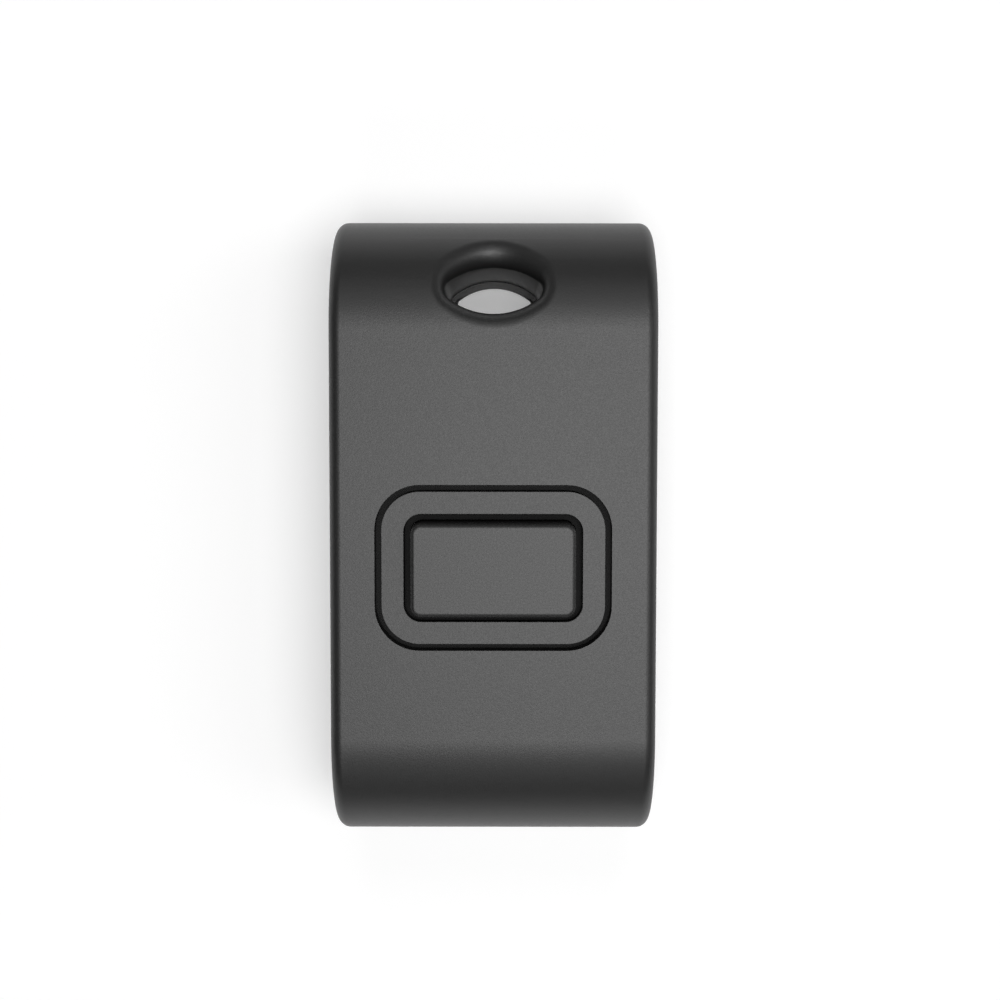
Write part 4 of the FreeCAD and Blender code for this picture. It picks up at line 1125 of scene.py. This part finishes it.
@dataclass(frozen=True)
class Softbox:
    """One lamp that shines on the fob from far off.

    Attributes:
        name: The lamp's name.
        azimuth: Direction from the +x axis towards the +y axis, in degrees.
        elevation: Angle above the floor, in degrees.
        size: Width of the lamp, in metres.
        power: Power, in watts.
        shape: The lamp's outline.
        distance: Distance from the fob, in metres.
        aim_height: Height of the point that it shines at, in metres.
    """

    name: str
    azimuth: float
    elevation: float
    size: float
    power: float
    shape: str = "SQUARE"
    distance: float = 1.0
    aim_height: float = 0.023

    def build(self) -> None:
        """Hang the lamp."""
        lamp = bpy.data.lights.new(self.name, "AREA")
        lamp.shape = self.shape
        lamp.size = self.size
        lamp.energy = self.power
        holder = bpy.data.objects.new(self.name, lamp)
        bpy.context.scene.collection.objects.link(holder)
        around, up = math.radians(self.azimuth), math.radians(self.elevation)
        way = Vector((math.cos(around) * math.cos(up), math.sin(around) * math.cos(up),
                      math.sin(up)))
        holder.location = Vector((0, 0, self.aim_height)) + way * self.distance
        holder.rotation_euler = (-way).to_track_quat("-Z", "Y").to_euler()


@dataclass
class Studio:
    """Pale floor, soft lights and the camera over the fob.

    Attributes:
        camera_place: Where the camera stands, in millimetres.
        camera_tilt: How far its line of sight leans towards the fob's lower end, in radians.
        camera_roll: How far it is turned about that line, in radians.
        lens: Its focal length, in millimetres.
        floor_size: Width of the floor, in metres.
        floor_level: Level of the floor, just under the fob, in metres.
        paper: Colour of the floor.
        paper_glow: Light that the floor gives off where the camera sees it.
        sky: Strength of the sky.
        horizon: Strength of the sky low down, where the camera sees it.
        horizon_fade: Heights, as sines of the angle, between which it fades into the sky.
        lamps: The lamps.
    """

    camera_place: Triple = (0.653, 12.09, 162.632)
    camera_tilt: float = 0.061125
    camera_roll: float = 0.00105
    lens: float = 51.975
    floor_size: float = 6.0
    floor_level: float = -0.00001
    paper: str = "#e7e7e7"
    paper_glow: float = 0.26
    sky: float = 0.01
    horizon: float = 0.9
    horizon_fade: Span = (0.04, 0.12)
    lamps: Tuple[Softbox, ...] = (
        Softbox("overhead_softbox", -31.0, 84.2, 0.73, 8.75, "DISK"),
        Softbox("right_softbox", 0.0, 52.0, 0.38, 1.1),
        Softbox("low_right_softbox", 12.0, 12.0, 0.38, 0.5),
        Softbox("upper_softbox", 90.0, 50.0, 0.38, 0.95),
        Softbox("lower_softbox", 270.0, 42.0, 0.38, 0.62),
    )

    def build(self) -> None:
        """Set up the camera, the floor, the sky and the lamps."""
        self._camera()
        self._floor()
        self._sky()
        for lamp in self.lamps:
            lamp.build()

    def _camera(self) -> None:
        """Stand the camera where the photograph was taken from."""
        camera = bpy.data.objects.new("camera", bpy.data.cameras.new("camera"))
        bpy.context.scene.collection.objects.link(camera)
        camera.data.lens = self.lens
        camera.data.clip_start = MM
        back = Vector((0, math.sin(self.camera_tilt), math.cos(self.camera_tilt)))
        up = Vector((0, math.cos(self.camera_tilt), -math.sin(self.camera_tilt)))
        right = Vector((1, 0, 0))
        roll_cos, roll_sin = math.cos(self.camera_roll), math.sin(self.camera_roll)
        place = Matrix((right * roll_cos + up * roll_sin, up * roll_cos - right * roll_sin, back))
        place = place.transposed().to_4x4()
        place.translation = Vector(self.camera_place) * MM
        camera.matrix_world = place
        bpy.context.scene.camera = camera
        bpy.context.scene.view_settings.view_transform = "Standard"

    def _floor(self) -> None:
        """Lay a sheet of white paper that keeps the fob's shadow."""
        deselect()
        bpy.ops.mesh.primitive_plane_add(size=self.floor_size, location=(0, 0, self.floor_level))
        floor = bpy.context.active_object
        floor.name = "floor"
        material = bpy.data.materials.new("white_paper")
        material.use_nodes = True
        tree = material.node_tree
        tree.nodes.clear()
        paper = add_node(tree, "ShaderNodeBsdfDiffuse", {"Color": linear(self.paper)})
        glow = add_node(tree, "ShaderNodeEmission",
                        {"Color": (1, 1, 1, 1), "Strength": self.paper_glow})
        lifted = add_node(tree, "ShaderNodeAddShader",
                          links={0: paper.outputs[0], 1: glow.outputs[0]})
        mixed = add_node(tree, "ShaderNodeMixShader", links={
            0: self._seen(tree), 1: paper.outputs[0], 2: lifted.outputs[0]})
        add_node(tree, "ShaderNodeOutputMaterial", links={"Surface": mixed.outputs[0]})
        floor.data.materials.append(material)

    def _seen(self, tree: bpy.types.NodeTree) -> Socket:
        """Tell whether a ray is one that sees the background.

        Args:
            tree: The tree to add the test to.

        Returns:
            1 for a camera, glossy or transmission ray, and 0 for the others.
        """
        path = add_node(tree, "ShaderNodeLightPath").outputs
        seen = add_math(tree, "MAXIMUM", path["Is Camera Ray"], path["Is Glossy Ray"])
        return add_math(tree, "MAXIMUM", seen, path["Is Transmission Ray"])

    def _sky(self) -> None:
        """Put a dim even sky over the fob, with a pale horizon where it is seen."""
        world = bpy.data.worlds.new("studio")
        bpy.context.scene.world = world
        world.use_nodes = True
        tree = world.node_tree
        tree.nodes.clear()
        way = add_node(tree, "ShaderNodeTexCoord")
        parts = add_node(tree, "ShaderNodeSeparateXYZ", links={0: way.outputs["Generated"]})
        low = add_node(tree, "ShaderNodeMapRange", {
            "From Min": self.horizon_fade[0], "From Max": self.horizon_fade[1],
            "To Min": self.horizon, "To Max": self.sky}, {"Value": parts.outputs[2]})
        # This node takes its plain numbers at 2 and 3, and gives the mixed one at 0.
        strength = add_node(tree, "ShaderNodeMix", {"data_type": "FLOAT", 2: self.sky},
                            {0: self._seen(tree), 3: low.outputs["Result"]})
        light = add_node(tree, "ShaderNodeBackground", {"Color": (1, 1, 1, 1)},
                         {"Strength": strength.outputs[0]})
        add_node(tree, "ShaderNodeOutputWorld", links={"Surface": light.outputs[0]})


def main() -> None:
    """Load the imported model, finish every piece and set up the studio."""
    logging.basicConfig(level=logging.INFO, format="%(name)s: %(message)s")
    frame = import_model()
    deselect()
    for part in (CaseShells, ButtonInsert, TactileSwitch, RadioBoard, PowerCell, Fasteners):
        part(frame["nodes"]).build()
        log.info("%s is done", part.__name__)
    Studio().build()


if __name__ == "__main__":
    main()
